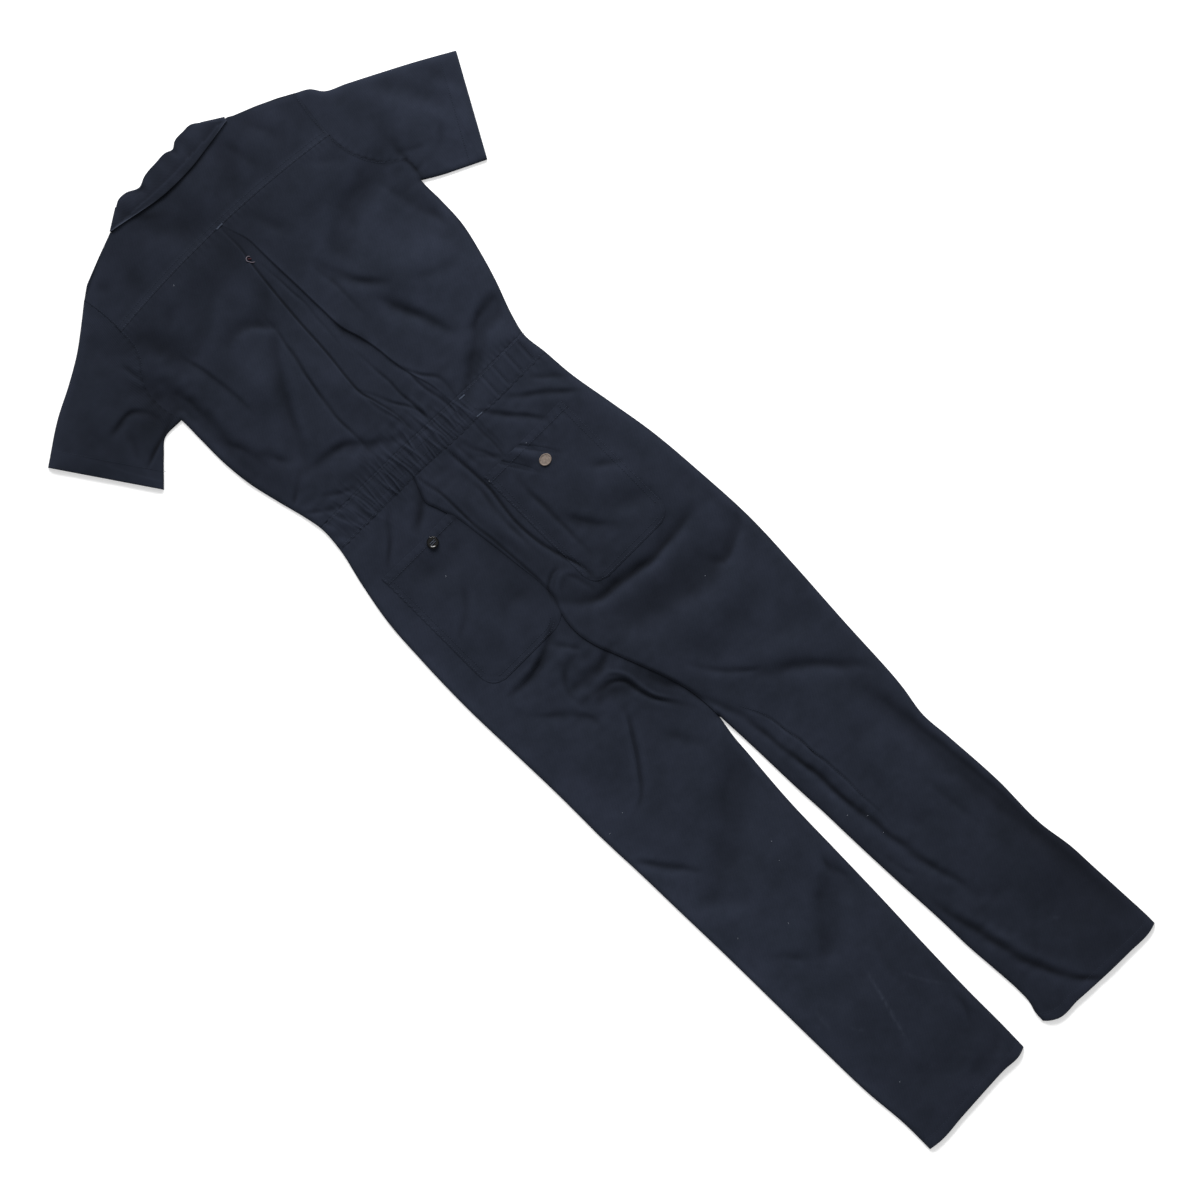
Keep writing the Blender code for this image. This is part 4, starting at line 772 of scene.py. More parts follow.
# Painted shade along the darkest folds, where no light gets in: half width, darkness, lean, and the points they run
# through
PAINTED_FOLD_SHADE = [
    (2.4, 1.2, 0, [(-192, 522), (-214, 519), (-230, 515), (-248, 509), (-274, 499)]),
    (17, 0.6, 0, [(-222, 566), (-206, 542), (-190, 508)]),
    (16, 0.45, 0, [(-196, 650), (-170, 622), (-156, 600), (-148, 570), (-146, 530)]),
    (5, 0.8, 0, [(-74, 736), (-52, 717), (-28, 700)]),
    (1.7, 1.0, 0, [(-50, 276), (-44, 243), (-39, 223), (-38.5, 188), (-36.5, 160), (-33, 130), (-31, 98), (-28, 30)]),
    (1.8, 1.0, 0, [(2, 300), (5, 240), (7.5, 195), (3.5, 158), (1, 138), (4, 98), (13, 62), (19, 44), (21, 20),
                   (20, -50)]),
    (1.8, 0.4, 0, [(-38, 540), (-41, 510), (-46, 478), (-56, 430), (-62, 390), (-63, 340), (-64, 280)]),
    (7, 0.7, 0, [(14, 470), (20, 440), (32, 400)]),
    (5.5, 0.55, 0, [(226, 604), (220, 570), (219, 545), (218, 525), (217, 480)]),
    (3.8, 0.6, 0, [(-36, 50), (-22, 24), (-6, 8), (12, -1), (36, -5), (62, -9), (98, -12), (130, -8), (176, -6)]),
    (14, 0.45, 0, [(6, -196), (-8, -150), (-20, -118), (-34, -88), (-48, -50)]),
    (9, 0.6, 0, [(-110, -68), (-86, -77), (-66, -84), (-46, -98), (-34, -124)]),
    (6, 0.5, 0, [(-42, 286), (-52, 252), (-66, 233), (-88, 217), (-112, 206)]),
    (14, 0.35, 0, THIGH_FOLD),
    (13, 0.35, 0, SHIN_FOLD),
    (19, 0.8, 0, [(150, -200), (166, -310), (175, -400), (179, -480), (185, -560), (193, -640), (200, -800)]),
    (2.2, 0.95, 0, [(188, 790), (181, 710), (176, 680), (172, 646), (174, 608), (182, 583), (194, 564), (209, 551),
                    (218, 544), (219, 530), (216, 512), (214, 440)]),
    (2.2, 0.3, 0, [(-175, 690), (-176, 640), (-182, 606), (-196, 586), (-204, 570), (-207, 550), (-204, 520)]),
    (3.6, 1.0, 0, [(14, -166), (24, -204), (30, -236), (34, -268), (38, -300), (43, -330), (45.5, -350), (45.5, -371),
                   (49, -412), (55, -456), (64, -520), (78, -600)]),
    (4.4, 1.15, 0, [(24, -500), (39, -582), (46, -612), (54, -646), (62, -680), (74, -709), (90, -735), (116, -765),
                    (160, -810)]),
    (1.2, 0.7, 0, [(33, -206), (48, -244), (53, -264), (57, -290), (60, -320), (63, -360), (64, -410)]),
    (1.5, 0.6, 0, [(38, 206), (45, 189), (59, 171)]),
    (1.5, 0.6, 0, [(64, 206), (79, 192), (82, 179), (92, 170)]),
]


def shade(x, y, height, step, painted_shade):
    """How much of the cloth's colour is left: painted shade in hollows and the darkest folds, painted light on
    ridges, and broad painted light and shade.
    """
    dark = hollows(height, step) + painted_shade + creases(x, y, PAINTED_FOLD_SHADE)
    return np.clip(1 - HOLLOW_DARK * dark, 0.4, 1.25) * (1 + swells(x, y, PAINTED_LIGHT_AND_SHADE))


# ---------------------------------------------------------------- meshes

def waist_slant(x, y):
    """How far the cloth round the waist lies off the square: up at the left, down at the right."""
    return (2.5 - 6.5 * ramp(x, -90, 100)) * bell(y - UPRIGHT_MIDDLE, 45)


def build_mesh(name, points, faces, uv=None, attributes=None):
    """An object from points in millimetres and faces of three or four corners, as whole arrays.

    uv holds each point's place on the cut cloth in metres, and attributes a value for each point under each name.
    """
    points = np.array(points, float)
    points[:, 1] += waist_slant(points[:, 0], points[:, 1])
    sizes = np.concatenate([np.full(len(group), group.shape[1]) for group in faces])
    corners = np.concatenate([group.reshape(-1) for group in faces])
    mesh = bpy.data.meshes.new(name)
    mesh.vertices.add(len(points))
    mesh.vertices.foreach_set("co", (points * MM).ravel())
    mesh.loops.add(len(corners))
    mesh.loops.foreach_set("vertex_index", corners)
    mesh.polygons.add(len(sizes))
    mesh.polygons.foreach_set("loop_start", np.concatenate([[0], np.cumsum(sizes)[:-1]]))
    mesh.polygons.foreach_set("use_smooth", np.full(len(sizes), True))
    if uv is not None:
        mesh.uv_layers.new(name="cut").data.foreach_set("uv", uv[corners].ravel())
    for key, values in (attributes or {}).items():
        mesh.attributes.new(key, "FLOAT", "POINT").data.foreach_set("value", values)
    mesh.update(calc_edges=True)
    mesh.validate()
    made = bpy.data.objects.new(name, mesh)
    bpy.context.scene.collection.objects.link(made)
    return made


def fit(made, finish, stands_for=None):
    """Gives a piece its finish, fastens it to the one body, and hides the CAD node that it stands for."""
    made.data.materials.append(finish)
    if stands_for:
        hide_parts(stands_for)
    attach(made, "root")


def numbered(rows, columns, ring=False):
    """The numbers of a grid's points, with the first column again at the end if its rows are rings."""
    here = np.arange(rows * columns).reshape(rows, columns)
    return np.concatenate([here, here[:, :1]], axis=1) if ring else here


def grid_faces(here):
    """Corners of the faces between a grid's points."""
    return join(here[:-1, :-1], here[:-1, 1:], here[1:, 1:], here[1:, :-1]).reshape(-1, 4)


def shell_faces(rows, columns, ring):
    """Corners of a closed shell over a grid: outer face, inner face turned over, and the rims between."""
    here, below = numbered(rows, columns, ring), rows * columns
    outer = grid_faces(here)
    rims = [here[0], here[-1][::-1]] if ring else [here[0], here[:, -1], here[-1][::-1], here[::-1, 0]]
    rim = np.concatenate([join(r[1:], r[:-1], r[:-1] + below, r[1:] + below) for r in rims])
    return np.concatenate([outer, outer[:, ::-1] + below, rim])


def tube_faces(rings, sides):
    """Corners of a closed tube over rings of an even number of points, with its two ends shut."""
    ends = np.array([(0, k + 2, k + 1, k) for k in range(1, sides - 2, 2)])
    far_ends = ends[:, [0, 3, 2, 1]] + (rings - 1) * sides
    return np.concatenate([grid_faces(numbered(rings, sides, ring=True)), ends, far_ends])


def facing(points, faces):
    """The faces, turned over if the closed surface they make has a negative volume."""
    a, b, c, d = (points[faces[:, k]] for k in range(4))
    volume = np.einsum("ij,ij->i", a, np.cross(b, c)).sum() + np.einsum("ij,ij->i", a, np.cross(c, d)).sum()
    return faces if volume > 0 else faces[:, ::-1]


def cloth(part, outer, inner, uv, wear=0, painted_shade=0, ring=False):
    """A sheet of cloth from two grids of points, with its place on the flat cut as given in uv.

    wear is its rubbing, and the argument after it the painted shade of the cloth inside a fold or under an edge, each
    0 to 1.
    """
    def double(values):
        return np.concatenate([values.reshape(-1, values.shape[-1])] * 2)

    points = np.concatenate([outer.reshape(-1, 3), inner.reshape(-1, 3)])
    faces = facing(points, shell_faces(*outer.shape[:2], ring))
    step = np.median(np.linalg.norm(np.diff(outer, axis=0), axis=-1))
    # shade: painted light and shade, as each point's share of the cloth's colour
    left = shade(*np.moveaxis(outer, -1, 0), step, painted_shade)
    values = {key: double(join(value + 0 * left))[:, 0] for key, value in (("wear", wear), ("shade", left))}
    made = build_mesh(f"cloth_{part}", points, [faces], double(uv * MM), values)
    fit(made, TWILL, stands_for=part)


def panel(part, x, y, top, wear=0, painted_shade=0, thickness=CLOTH):
    """A panel from its plan and its height, one cloth thick."""
    cloth(part, join(x, y, top), join(x, y, top - thickness), join(x, y), wear, painted_shade)


def spread(start, end, step):
    """Columns from one edge to another: close together at both edges and evenly spaced between."""
    near = BESIDE_SEAM * np.clip((end - start) / 14, 0, 1)
    width = np.max(end - start) - 2 * BESIDE_SEAM[-1]
    shares = np.linspace(0, 1, max(3, int(round(width / step)) + 1))[1:-1]
    first, last = start + near, end - near[:, ::-1]
    return np.concatenate([first, first[:, -1:] + (last[:, :1] - first[:, -1:]) * shares, last], axis=1)


def rows_between(high, low, step):
    """Rows from one seam to another: close together at both seams and evenly spaced between."""
    near = BESIDE_SEAM[-1]
    inside = np.linspace(high - near, low + near, max(2, int(round((high - low - 2 * near) / step)) + 1))[1:-1]
    return np.concatenate([high - BESIDE_SEAM, inside, low + BESIDE_SEAM[::-1]])[:, None]


# ---------------------------------------------------------------- materials

def colour(code):
    """An sRGB hex colour as linear red, green, blue and alpha."""
    parts = np.array([int(code[k:k + 2], 16) for k in (1, 3, 5)]) / 255
    linear = np.where(parts <= 0.04045, parts / 12.92, ((parts + 0.055) / 1.055) ** 2.4)
    return (*linear.tolist(), 1.0)


def set_inputs(made, values):
    """Sets the values of a node's own sockets."""
    for key, value in values.items():
        made.inputs[key].default_value = value


def node(tree, kind, settings=None, inputs=None, links=None):
    """Adds a node with its settings, the values of its inputs, and the links into it."""
    made = tree.nodes.new(kind)
    for key, value in (settings or {}).items():
        setattr(made, key, value)
    set_inputs(made, inputs or {})
    for key, source in (links or {}).items():
        tree.links.new(source, made.inputs[key])
    return made


def new_material(name, values):
    """A material with the values of its shader's sockets."""
    made = bpy.data.materials.new(name)
    made.use_nodes = True
    shader = made.node_tree.nodes["Principled BSDF"]
    set_inputs(shader, values)
    return made, made.node_tree, shader


def surface(tree, shader, look, relief, strength, depth):
    """Links a pattern's colour and its relief, depth metres high, into the shader."""
    tree.links.new(look, shader.inputs["Base Color"])
    bump = node(tree, "ShaderNodeBump", inputs={"Strength": strength, "Distance": depth}, links={"Height": relief})
    tree.links.new(bump.outputs["Normal"], shader.inputs["Normal"])


WALE, WAVE_BAND = 0.0018, 0.314     # metres across a rib as drawn, and across a band of a wave texture at scale 1


def cotton_twill():
    """Dyed cotton twill, washed many times: near-black navy, matt, with a faint bloom of loose fibre.

    The wale is the diagonal rib of the weave. A real one is 0.9 mm wide; it is drawn at 1.8 mm to show.
    """
    made, tree, shader = new_material("washed navy cotton twill", {
        "Roughness": 0.9, "Specular IOR Level": 0.08,
        "Sheen Weight": 0.02, "Sheen Roughness": 0.55, "Sheen Tint": colour("#8f9ab4"),
    })
    place = node(tree, "ShaderNodeTexCoord").outputs["UV"]
    turned = node(tree, "ShaderNodeMapping", inputs={"Rotation": (0, 0, math.radians(52))},
                  links={"Vector": place}).outputs["Vector"]
    wale = node(tree, "ShaderNodeTexWave", {"wave_type": "BANDS", "bands_direction": "X"},
                {"Scale": WAVE_BAND / WALE, "Distortion": 1.2, "Detail": 2.0, "Detail Scale": 2.0},
                {"Vector": turned}).outputs["Fac"]
    yarn = node(tree, "ShaderNodeTexNoise", inputs={"Scale": 700.0, "Detail": 3.0, "Roughness": 0.6},
                links={"Vector": place}).outputs["Fac"]
    fading = node(tree, "ShaderNodeTexNoise", inputs={"Scale": 16.0, "Detail": 6.0, "Roughness": 0.72},
                  links={"Vector": place}).outputs["Fac"]
    faded = node(tree, "ShaderNodeValToRGB", links={"Fac": fading})
    for element, position, code in zip(faded.color_ramp.elements, (0.34, 0.70), ("#191d26", "#20242f")):
        element.position, element.color = position, colour(code)
    ribbed = node(tree, "ShaderNodeMix", {"data_type": "RGBA", "blend_type": "MULTIPLY"},
                  {"Factor": 0.18}, {"A": faded.outputs["Color"], "B": wale}).outputs["Result"]
    # The shade attribute scales the colour: painted shade in hollows and folds, painted light on ridges, and broad
    # painted light and shade
    left = node(tree, "ShaderNodeAttribute", {"attribute_name": "shade"}).outputs["Fac"]
    shaded = node(tree, "ShaderNodeVectorMath", {"operation": "SCALE"},
                  links={"Vector": ribbed, "Scale": left}).outputs["Vector"]
    worn = node(tree, "ShaderNodeAttribute", {"attribute_name": "wear"}).outputs["Fac"]
    patchy = node(tree, "ShaderNodeMapRange",
                  inputs={"From Min": 0.3, "From Max": 0.7, "To Min": 0.35, "To Max": 1.2},
                  links={"Value": yarn}).outputs["Result"]
    rubbed = node(tree, "ShaderNodeMath", {"operation": "MULTIPLY"}, links={0: worn, 1: patchy}).outputs["Value"]
    finished = node(tree, "ShaderNodeMix", {"data_type": "RGBA"}, {"B": colour("#596071")},
                    {"Factor": rubbed, "A": shaded}).outputs["Result"]
    relief = node(tree, "ShaderNodeMath", {"operation": "ADD"}, links={0: wale, 1: yarn}).outputs["Value"]
    surface(tree, shader, finished, relief, 0.35, 0.00018)
    return made


def plain_finish(name, code, roughness, specular=0.1, mottle=None):
    """One colour, or two that change over into each other in fine patches."""
    made, tree, shader = new_material(name, {
        "Roughness": roughness, "Specular IOR Level": specular, "Base Color": colour(code),
    })
    if mottle:
        place = node(tree, "ShaderNodeTexCoord").outputs["Object"]
        patches = node(tree, "ShaderNodeTexNoise", inputs={"Scale": 420.0, "Detail": 4.0},
                       links={"Vector": place}).outputs["Fac"]
        mixed = node(tree, "ShaderNodeMix", {"data_type": "RGBA"}, {"A": colour(code), "B": colour(mottle)},
                     {"Factor": patches}).outputs["Result"]
        surface(tree, shader, mixed, patches, 0.3, 0.0001)
    return made


TWILL = cotton_twill()
# Spun polyester thread takes the dye less than cotton, so the topstitching shows a little paler
THREAD = plain_finish("navy polyester thread", "#232833", 0.8)
FADED_THREAD = plain_finish("faded navy polyester thread", "#2c313d", 0.8)
# Pale thread: the bartacks are sewn with it, and on the button it is a painted glint in its middle
PALE_THREAD_AND_PAINTED_GLINT = plain_finish("worn polyester thread", "#424957", 0.8)
# Cast polyester button: a satin black that takes a small highlight on its rim
BUTTON = plain_finish("black cast polyester", "#020202", 0.12, 0.4)
# Woven patch, bare: off-white yarn gone a dull beige with washing
PATCH = plain_finish("off-white woven patch", "#8b7f76", 0.85, mottle="#3f3733")
# Loose fibres of undyed cotton, paler than the cloth, and two ends of thread that were left in it
LINT = plain_finish("cotton lint", "#7d828c", 0.9)
LOOP_THREAD = plain_finish("pale thread end", "#5d565e", 0.8)
RUST_THREAD = plain_finish("rust thread end", "#331b21", 0.8)


# ---------------------------------------------------------------- back panels

def hem_line(side, x, y):
    """Moves the lowest rows to the hem line, which sags between its ends and is turned up at its corners."""
    return y + ramp(y, HEM_BEND_FROM, HEM_Y) * (read(HEMS[side], "y", x) - HEM_Y)


def seat_inner(side, y):
    """Inner edge of a back leg panel: the seat's lapped edge, tucked further under on the left."""
    tuck = 0 if side == "right" else SEAT_LAP * (1 - ramp(y, -110, CROTCH_Y))
    return np.where(y > CROTCH_Y, read(SEAT, "edge", y) + tuck, leg_edges(side, y)[1])


SCUFFS = [
    ([(-82, -545), (-92, -584), (-100, -616), (-114, -660)], 2.2, 0.11),
    ([(-162, -540), (-166, -580)], 3.0, 0.06),
    ([(-186, -606), (-186, -636), (-180, -664)], 2.6, 0.07),
    ([(-56, -580), (-44, -606), (-24, -636)], 1.8, 0.08),
    ([(-150, -585), (-134, -606)], 2.0, 0.05),
    ([(118, -664), (132, -676)], 2.0, 0.05),
]


def scuffs(x, y):
    """Pale rubbed streaks on the lower legs: each a line, its half width and its strength."""
    streaks = np.zeros(np.shape(x))
    patchy = np.clip(0.75 + 0.5 * SHORT_WAVES(2.2 * x, 2.2 * y), 0.2, 1.4)
    for points, width, strength in SCUFFS:
        away, _, passed = path_distance(x, y, walk(points, 8))
        streaks = streaks + strength * patchy * bell(away, width) * np.sin(math.pi * passed)
    return streaks


def back_leg(side):
    """Seat and leg in one: rows from the waist to the hem, each from edge to edge."""
    y = rows_between(WAIST_LOW - SEAM_GAP, HEM_Y, 2.7)
    edges = leg_edges(side, y)[0], seat_inner(side, y)
    x = spread(*(edges if side == "left" else edges[::-1]), 2.1)
    y = hem_line(side, x, np.broadcast_to(y, x.shape))
    from_hem = y - read(HEMS[side], "y", x)
    top = leg_top(side, x, y) + 0.4 * ramp(from_hem, 14, 11) - 0.9 * bell(from_hem, 1.2)
    # Painted shade along the pocket's edge
    painted_shade = 0.02 * bell(beyond_pocket(side, x, y), 1.8) * (y < POCKET_TOP)
    if side == "left":
        # Painted shadow under the right seat's lapped edge
        under_lap = bell(x - read(SEAT, "edge", y) + 0.5, 2.6)
        painted_shade = painted_shade + 0.5 * under_lap * ramp(y, CROTCH_Y - 10, CROTCH_Y + 40)
    panel(f"back_leg_{side}", x, y, top, scuffs(x, y) + 0.15 * bell(from_hem, 1.5), painted_shade)


def pocket_low(side, x):
    """The pocket's lower edge: level, and rounded up at its two corners."""
    left, right = POCKET_SIDES[side]
    past = np.maximum(np.maximum(left + POCKET_CORNER - x, x - right + POCKET_CORNER), 0) / POCKET_CORNER
    return POCKET_LOW + POCKET_CORNER * (1 - np.sqrt(np.clip(1 - past ** 2, 0, 1)))


def back_pocket(side):
    """A patch pocket: columns from its rounded lower edge up to its hemmed opening."""
    left, right = POCKET_SIDES[side]
    across = spread(np.array([[left]]), np.array([[right]]), 2.0)
    up = np.concatenate([[0, 0.003, 0.008], np.linspace(0.015, 0.985, 92), [0.992, 0.997, 1.0]])[:, None]
    low = pocket_low(side, across)
    high = POCKET_TOP - 1.5 * np.sin((across - left) / (right - left) * math.pi) ** 2
    x = across + 0 * up
    y = low + (high - low) * up
    painted_shade = 0
    if side == "left":
        edge, free = read(SEAT, "edge", y), left + 60
        x = np.where(x > free, free + (x - free) * (edge + 7 - free) / (right - free), x)
        # Painted shadow of the seat's lapped edge on the pocket
        painted_shade = 0.7 * bell(x - edge, 2.6)
    rim = np.minimum(np.minimum(x - x.min(axis=1, keepdims=True), x.max(axis=1, keepdims=True) - x),
                     np.minimum(y - low, high - y))
    top = pocket_top(side, x, y) + 0.2 * ramp(rim, 10, 6) - 0.04 * bell(rim, 1.2)
    top = top + pucker(rim, x + y, 7.0, 0.3, 5.0)
    panel(f"back_pocket_{side}", x, y, top, painted_shade=painted_shade, thickness=POCKET_CLOTH)


def back_waistband():
    """The casing of the elastic, finely gathered."""
    y = rows_between(WAIST_HIGH - SEAM_GAP, WAIST_LOW + SEAM_GAP, 1.6)
    x, y = np.broadcast_arrays(spread(body_edge("left", y), body_edge("right", y), 1.05), y)
    seam = np.minimum(y - WAIST_LOW, WAIST_HIGH - y)
    panel("back_waistband", x, y, band_top(x, y), 0.03 * bell(seam, 1.5))


def upper_back():
    """From the waist to the yoke; its columns crowd at the two folds of the pleat."""
    y = rows_between(YOKE_SEAM_Y, WAIST_HIGH + SEAM_GAP, GRID)
    fold_left, fold_right = read(PLEAT, "left", y), read(PLEAT, "right", y)
    half = 0.7              # each fold lies between two columns this far off it
    x = np.concatenate([
        spread(body_edge("left", y), fold_left - half, 1.7),
        spread(fold_left + half, np.maximum(fold_right - half, fold_left + half + 0.5), 1.7),
        spread(fold_right + half + 0.1, body_edge("right", y), 2.2),
    ], axis=1)
    # Painted shade under the pleat's left fold, and a little by its right fold
    depth = np.clip(read(PLEAT, "depth", y) / 2, 0, 1)
    painted_shade = depth * (bell(x - fold_left - 1.2, 1.8) + 0.1 * bell(x - fold_right + 2, 2.4))
    y = y + ramp(y, 600, YOKE_SEAM_Y) * (yoke_seam(x) - SEAM_GAP - YOKE_SEAM_Y)
    panel("upper_back", x, y, upper_top(x, y), painted_shade=painted_shade)


def back_yoke():
    """From the yoke seam up to the shoulders and the neck."""
    across = np.linspace(-1, 1, 160)[None, :]
    up = np.concatenate([[0, 0.006, 0.015, 0.03], np.linspace(0.05, 0.97, 44), [0.985, 1]])[:, None]
    x = YOKE_HALF * across + 0 * up
    for _ in range(3):
        low = yoke_seam(x) + SEAM_GAP
        y = low + (np.interp(x, SHOULDER["x"], SHOULDER["y"]) - low) * up
        x = YOKE_HALF * across + (body_edge("left", y) + YOKE_HALF) * ramp(across, -0.8, -1)
        x = x + (body_edge("right", y) - YOKE_HALF) * ramp(across, 0.8, 1)
    wear = 0.08 * bell(y - low, 1.2) + 0.02 * ramp(y - low, 11, 6)
    # Painted shadow of the collar's fall on the yoke, below its edge
    under = y - read(FALL_EDGE, "y", x)
    painted_shade = 0.9 * ramp(under, -7, -1) * ramp(x, -85, -50) * ramp(x, 92, 66)
    panel("back_yoke", x, y, yoke_top(x, y), wear, painted_shade)


# ---------------------------------------------------------------- sleeves and collar

def sleeve(side):
    """A flattened tube from the armhole to the hem, open at both ends.

    A ring goes from the armpit over the back to the shoulder, then under the front to the armpit. Each face
    is blended between the armhole, the hem, the line under the arm and the line over it.
    """
    sign = 1 if side == "right" else -1
    armhole = ARMHOLES[side]
    low, high = armhole["y"][0], armhole["y"][-1]
    over_y, under_y = np.linspace(low, high, 84), np.linspace(high, low, 30)
    over_start = join(read(armhole, "x", over_y), over_y)
    front_y = [low, *FRONT_ARMHOLE["y"], high]
    front_x = [over_start[0, 0], *sign * FRONT_ARMHOLE["x"], over_start[-1, 0]]
    start = np.concatenate([over_start - (sign * 0.4, 0), join(np.interp(under_y, front_y, front_x), under_y)])
    share = (start[:, 1] - low) / (high - low)
    points = np.arange(share.size)
    last = over_y.size - 1
    is_over = points <= last

    run = np.concatenate([[0, 0.003, 0.008, 0.015], np.linspace(0.03, 0.97, 66), [0.985, 0.993, 1]])
    under, over = along(SLEEVE_UNDER[side], run)[:, None], along(SLEEVE_OVER[side], run)[:, None]
    s, t = share[:, None], run[:, None, None]
    flat = (1 - t) * start + t * (under[-1] + (over[-1] - under[-1]) * s) + (1 - s) * under + s * over
    flat -= (1 - t) * ((1 - s) * under[0] + s * over[0]) + t * ((1 - s) * under[-1] + s * over[-1])
    way_out = over[-1, 0] - over[0, 0]
    from_hem = (1 - run)[:, None] * np.linalg.norm(way_out)

    def face(flat, over_drop, under_rise):
        """The ring's points at their heights, the given distances inside the cloth's outer face."""
        x, y = flat[..., 0], flat[..., 1]
        turned_up = 0.35 * ramp(from_hem, SLEEVE_HEM_ROW + 3, SLEEVE_HEM_ROW)
        top = sleeve_top(side, x, y) + turned_up - 0.5 * bell(from_hem, 1.2)
        return join(x, y, np.where(is_over, top - over_drop, FLOOR_CLEARANCE + collar_lift(x, y) + under_rise))

    inner = flat.copy()
    for corner, beside in ((0, 1), (-1, 1), (last, last - 1), (last + 1, last - 1)):
        inner[:, corner] += CLOTH * unit(flat[:, beside] - flat[:, corner])
    turn_up = 0.4 * ((points == last + 1) | (points == points[-1]))
    axis = unit(way_out)
    across = flat @ np.array([-axis[1], axis[0]])
    under_fold, over_fold = across[:, :1], across[:, last:last + 1]
    around = np.where(is_over, across - under_fold, 2 * over_fold - under_fold - across)
    cloth(f"sleeve_{side}", face(flat, 0, turn_up), face(inner, CLOTH, CLOTH), join(around, flat @ axis),
          0.08 * bell(from_hem, 1.5), ring=True)


def collar_front(share):
    """Neck seam, roll line and fall's edge of the right half of the collar's front, as x, y pairs."""
    return join(*(read(COLLAR_FRONT, column, share) for column in list(COLLAR_FRONT)[1:]))


def collar():
    """Stand and fall in one: the stand goes up from the neck seam, rolls over, and the fall lies outside.

    A station is a place round the neck, from the centre front round the back to the centre front. Its turn
    goes from -90 degrees on the front to 90 on the back, which closes the flattened ring at its two sides.
    """
    front = collar_front(np.linspace(0, 1, 20))
    mirror = np.array([-1, 1, -1, 1, -1, 1])
    back_x = np.linspace(-93, 93, 88)
    roll_x, edge_x = back_x * ROLL_SHARE, back_x * EDGE_SHARE
    back = join(back_x, np.interp(back_x, SHOULDER["x"], SHOULDER["y"]) + 0.3,
                roll_x, read(ROLL, "y", roll_x), edge_x, read(FALL_EDGE, "y", edge_x))
    side_turns = list(np.linspace(-75, 75, 9))
    side = np.repeat(front[:1], len(side_turns), axis=0)
    plan = np.concatenate([front[::-1] * mirror, side * mirror, back, side, front])
    half_turns = [-90] * len(front) + side_turns
    turns = np.radians(half_turns + [90] * len(back) + half_turns[::-1])
    neck, roll, edge = plan[:, 0:2], plan[:, 2:4], plan[:, 4:6]
    on_back = turns > math.radians(80)
    at_side = np.abs(turns) < math.radians(80)
    outward = join(np.sign(plan[:, 0]), 1) * COLLAR_SIDE_LEAN

    half_thick = COLLAR_THICK / 2
    reach = COLLAR_ROLL_RADIUS + half_thick
    low = FLOOR_CLEARANCE + half_thick + 2 * COLLAR_ROLL_RADIUS
    seam = yoke_top(neck[:, 0], neck[:, 1] - 0.3) - half_thick
    side_high = seam[on_back][[0, -1]].mean()
    centre = np.where(on_back, seam, np.where(at_side, (side_high + low) / 2, low))
    spread_z = np.where(at_side, (side_high - low) / 2, 0)
    droop = np.where(on_back, 1.2 * ramp(np.abs(neck[:, 0]), 96, 40), 0)
    stand_length = np.linalg.norm(roll - neck, axis=1)
    stand_way = unit(roll - neck)
    bend = roll - stand_way * reach
    fall_length = np.linalg.norm(edge - bend, axis=1)

    def face(offset):
        """One face of the collar, offset from its middle; the positive side is outside the roll."""
        rho = COLLAR_ROLL_RADIUS + offset
        grid = []

        def add(place, extra, sag, share=None):
            """A line round the neck, and for one on the fall its share of the way from the roll to the edge."""
            flat = place + outward * np.where(at_side, (spread_z + extra) * np.cos(turns), 0)[:, None]
            height = centre + np.sin(turns) * (spread_z + extra) - sag
            x, y = flat[:, 0], flat[:, 1]
            if share is not None:
                on_yoke = yoke_top(x, y) + 0.5 + 1.4 * ramp(share, 0.2, 0.8) + half_thick + offset
                height = np.where(on_back & (y < neck[:, 1]), np.maximum(height, on_yoke), height)
                swell = 1.4 * math.sin(math.pi * min(share * 1.15, 1)) + 0.5 * MIDDLE_WAVES(x * 1.6, y * 1.6)
                dents = 1.6 * bell(x + 34, 5) + 1.2 * bell(x - 26, 4)
                swell = (swell - dents * ramp(share, 0.8, 0)) * ramp(share, 0, 0.1)
                height = height + np.where(on_back, swell, 0)
            grid.append(join(x, y, height))

        for share in np.linspace(0, 1, 7):
            add(neck + (bend - neck) * share, -offset, droop * share)
        for theta in np.radians(np.linspace(0, 180, 9)[1:-1]):
            add(bend + stand_way * rho * math.sin(theta), COLLAR_ROLL_RADIUS - rho * math.cos(theta), droop)
        for share in [*np.linspace(0, 0.95, 17), 0.975, 0.99, 1.0]:
            sag = droop * np.clip(1 - share * fall_length / (stand_length - reach), 0, 1)
            add(bend + (edge - bend) * share, 2 * COLLAR_ROLL_RADIUS + offset, sag, share)
        return np.stack(grid)

    outer, inner = face(half_thick), face(-half_thick)
    down = distances(outer[:, len(front) + 50])[:, None]
    from_edge = down[-1] - down
    ends = np.where(on_back, ramp(plan[:, 0], -20, -80) + 0.5 * ramp(plan[:, 0], 60, 90), 0.3)
    wear = bell(from_edge, 1.3) * 0.45 * ends
    # Painted shade along the fall's edge, between its two ends
    painted_shade = 0.9 * bell(from_edge, 2.0) * (1 - np.clip(ends, 0, 1))
    cloth("collar", outer, inner, join(distances(edge), down), wear, painted_shade)


# ---------------------------------------------------------------- hidden front

def front_top(side, x, y):
    """Upper face of the front, the left one raised where it lies on the right one."""
    height = FLOOR_CLEARANCE + CLOTH + collar_lift(x, y)
    if side == "left":
        height = height + LAYER * 0.9 * ramp(x, -36, -18) * ramp(y, FLY_END_Y - 35, FLY_END_Y - 5)
    return height


def front_panel(part, side, inner, outer, y):
    """A plain hidden panel between two edges."""
    x = spread(*((outer, inner) if side == "left" else (inner, outer)), HIDDEN_GRID)
    y = hem_line(side, x, np.broadcast_to(y, x.shape))
    panel(f"{part}_{side}", x, y, front_top(side, x, y))


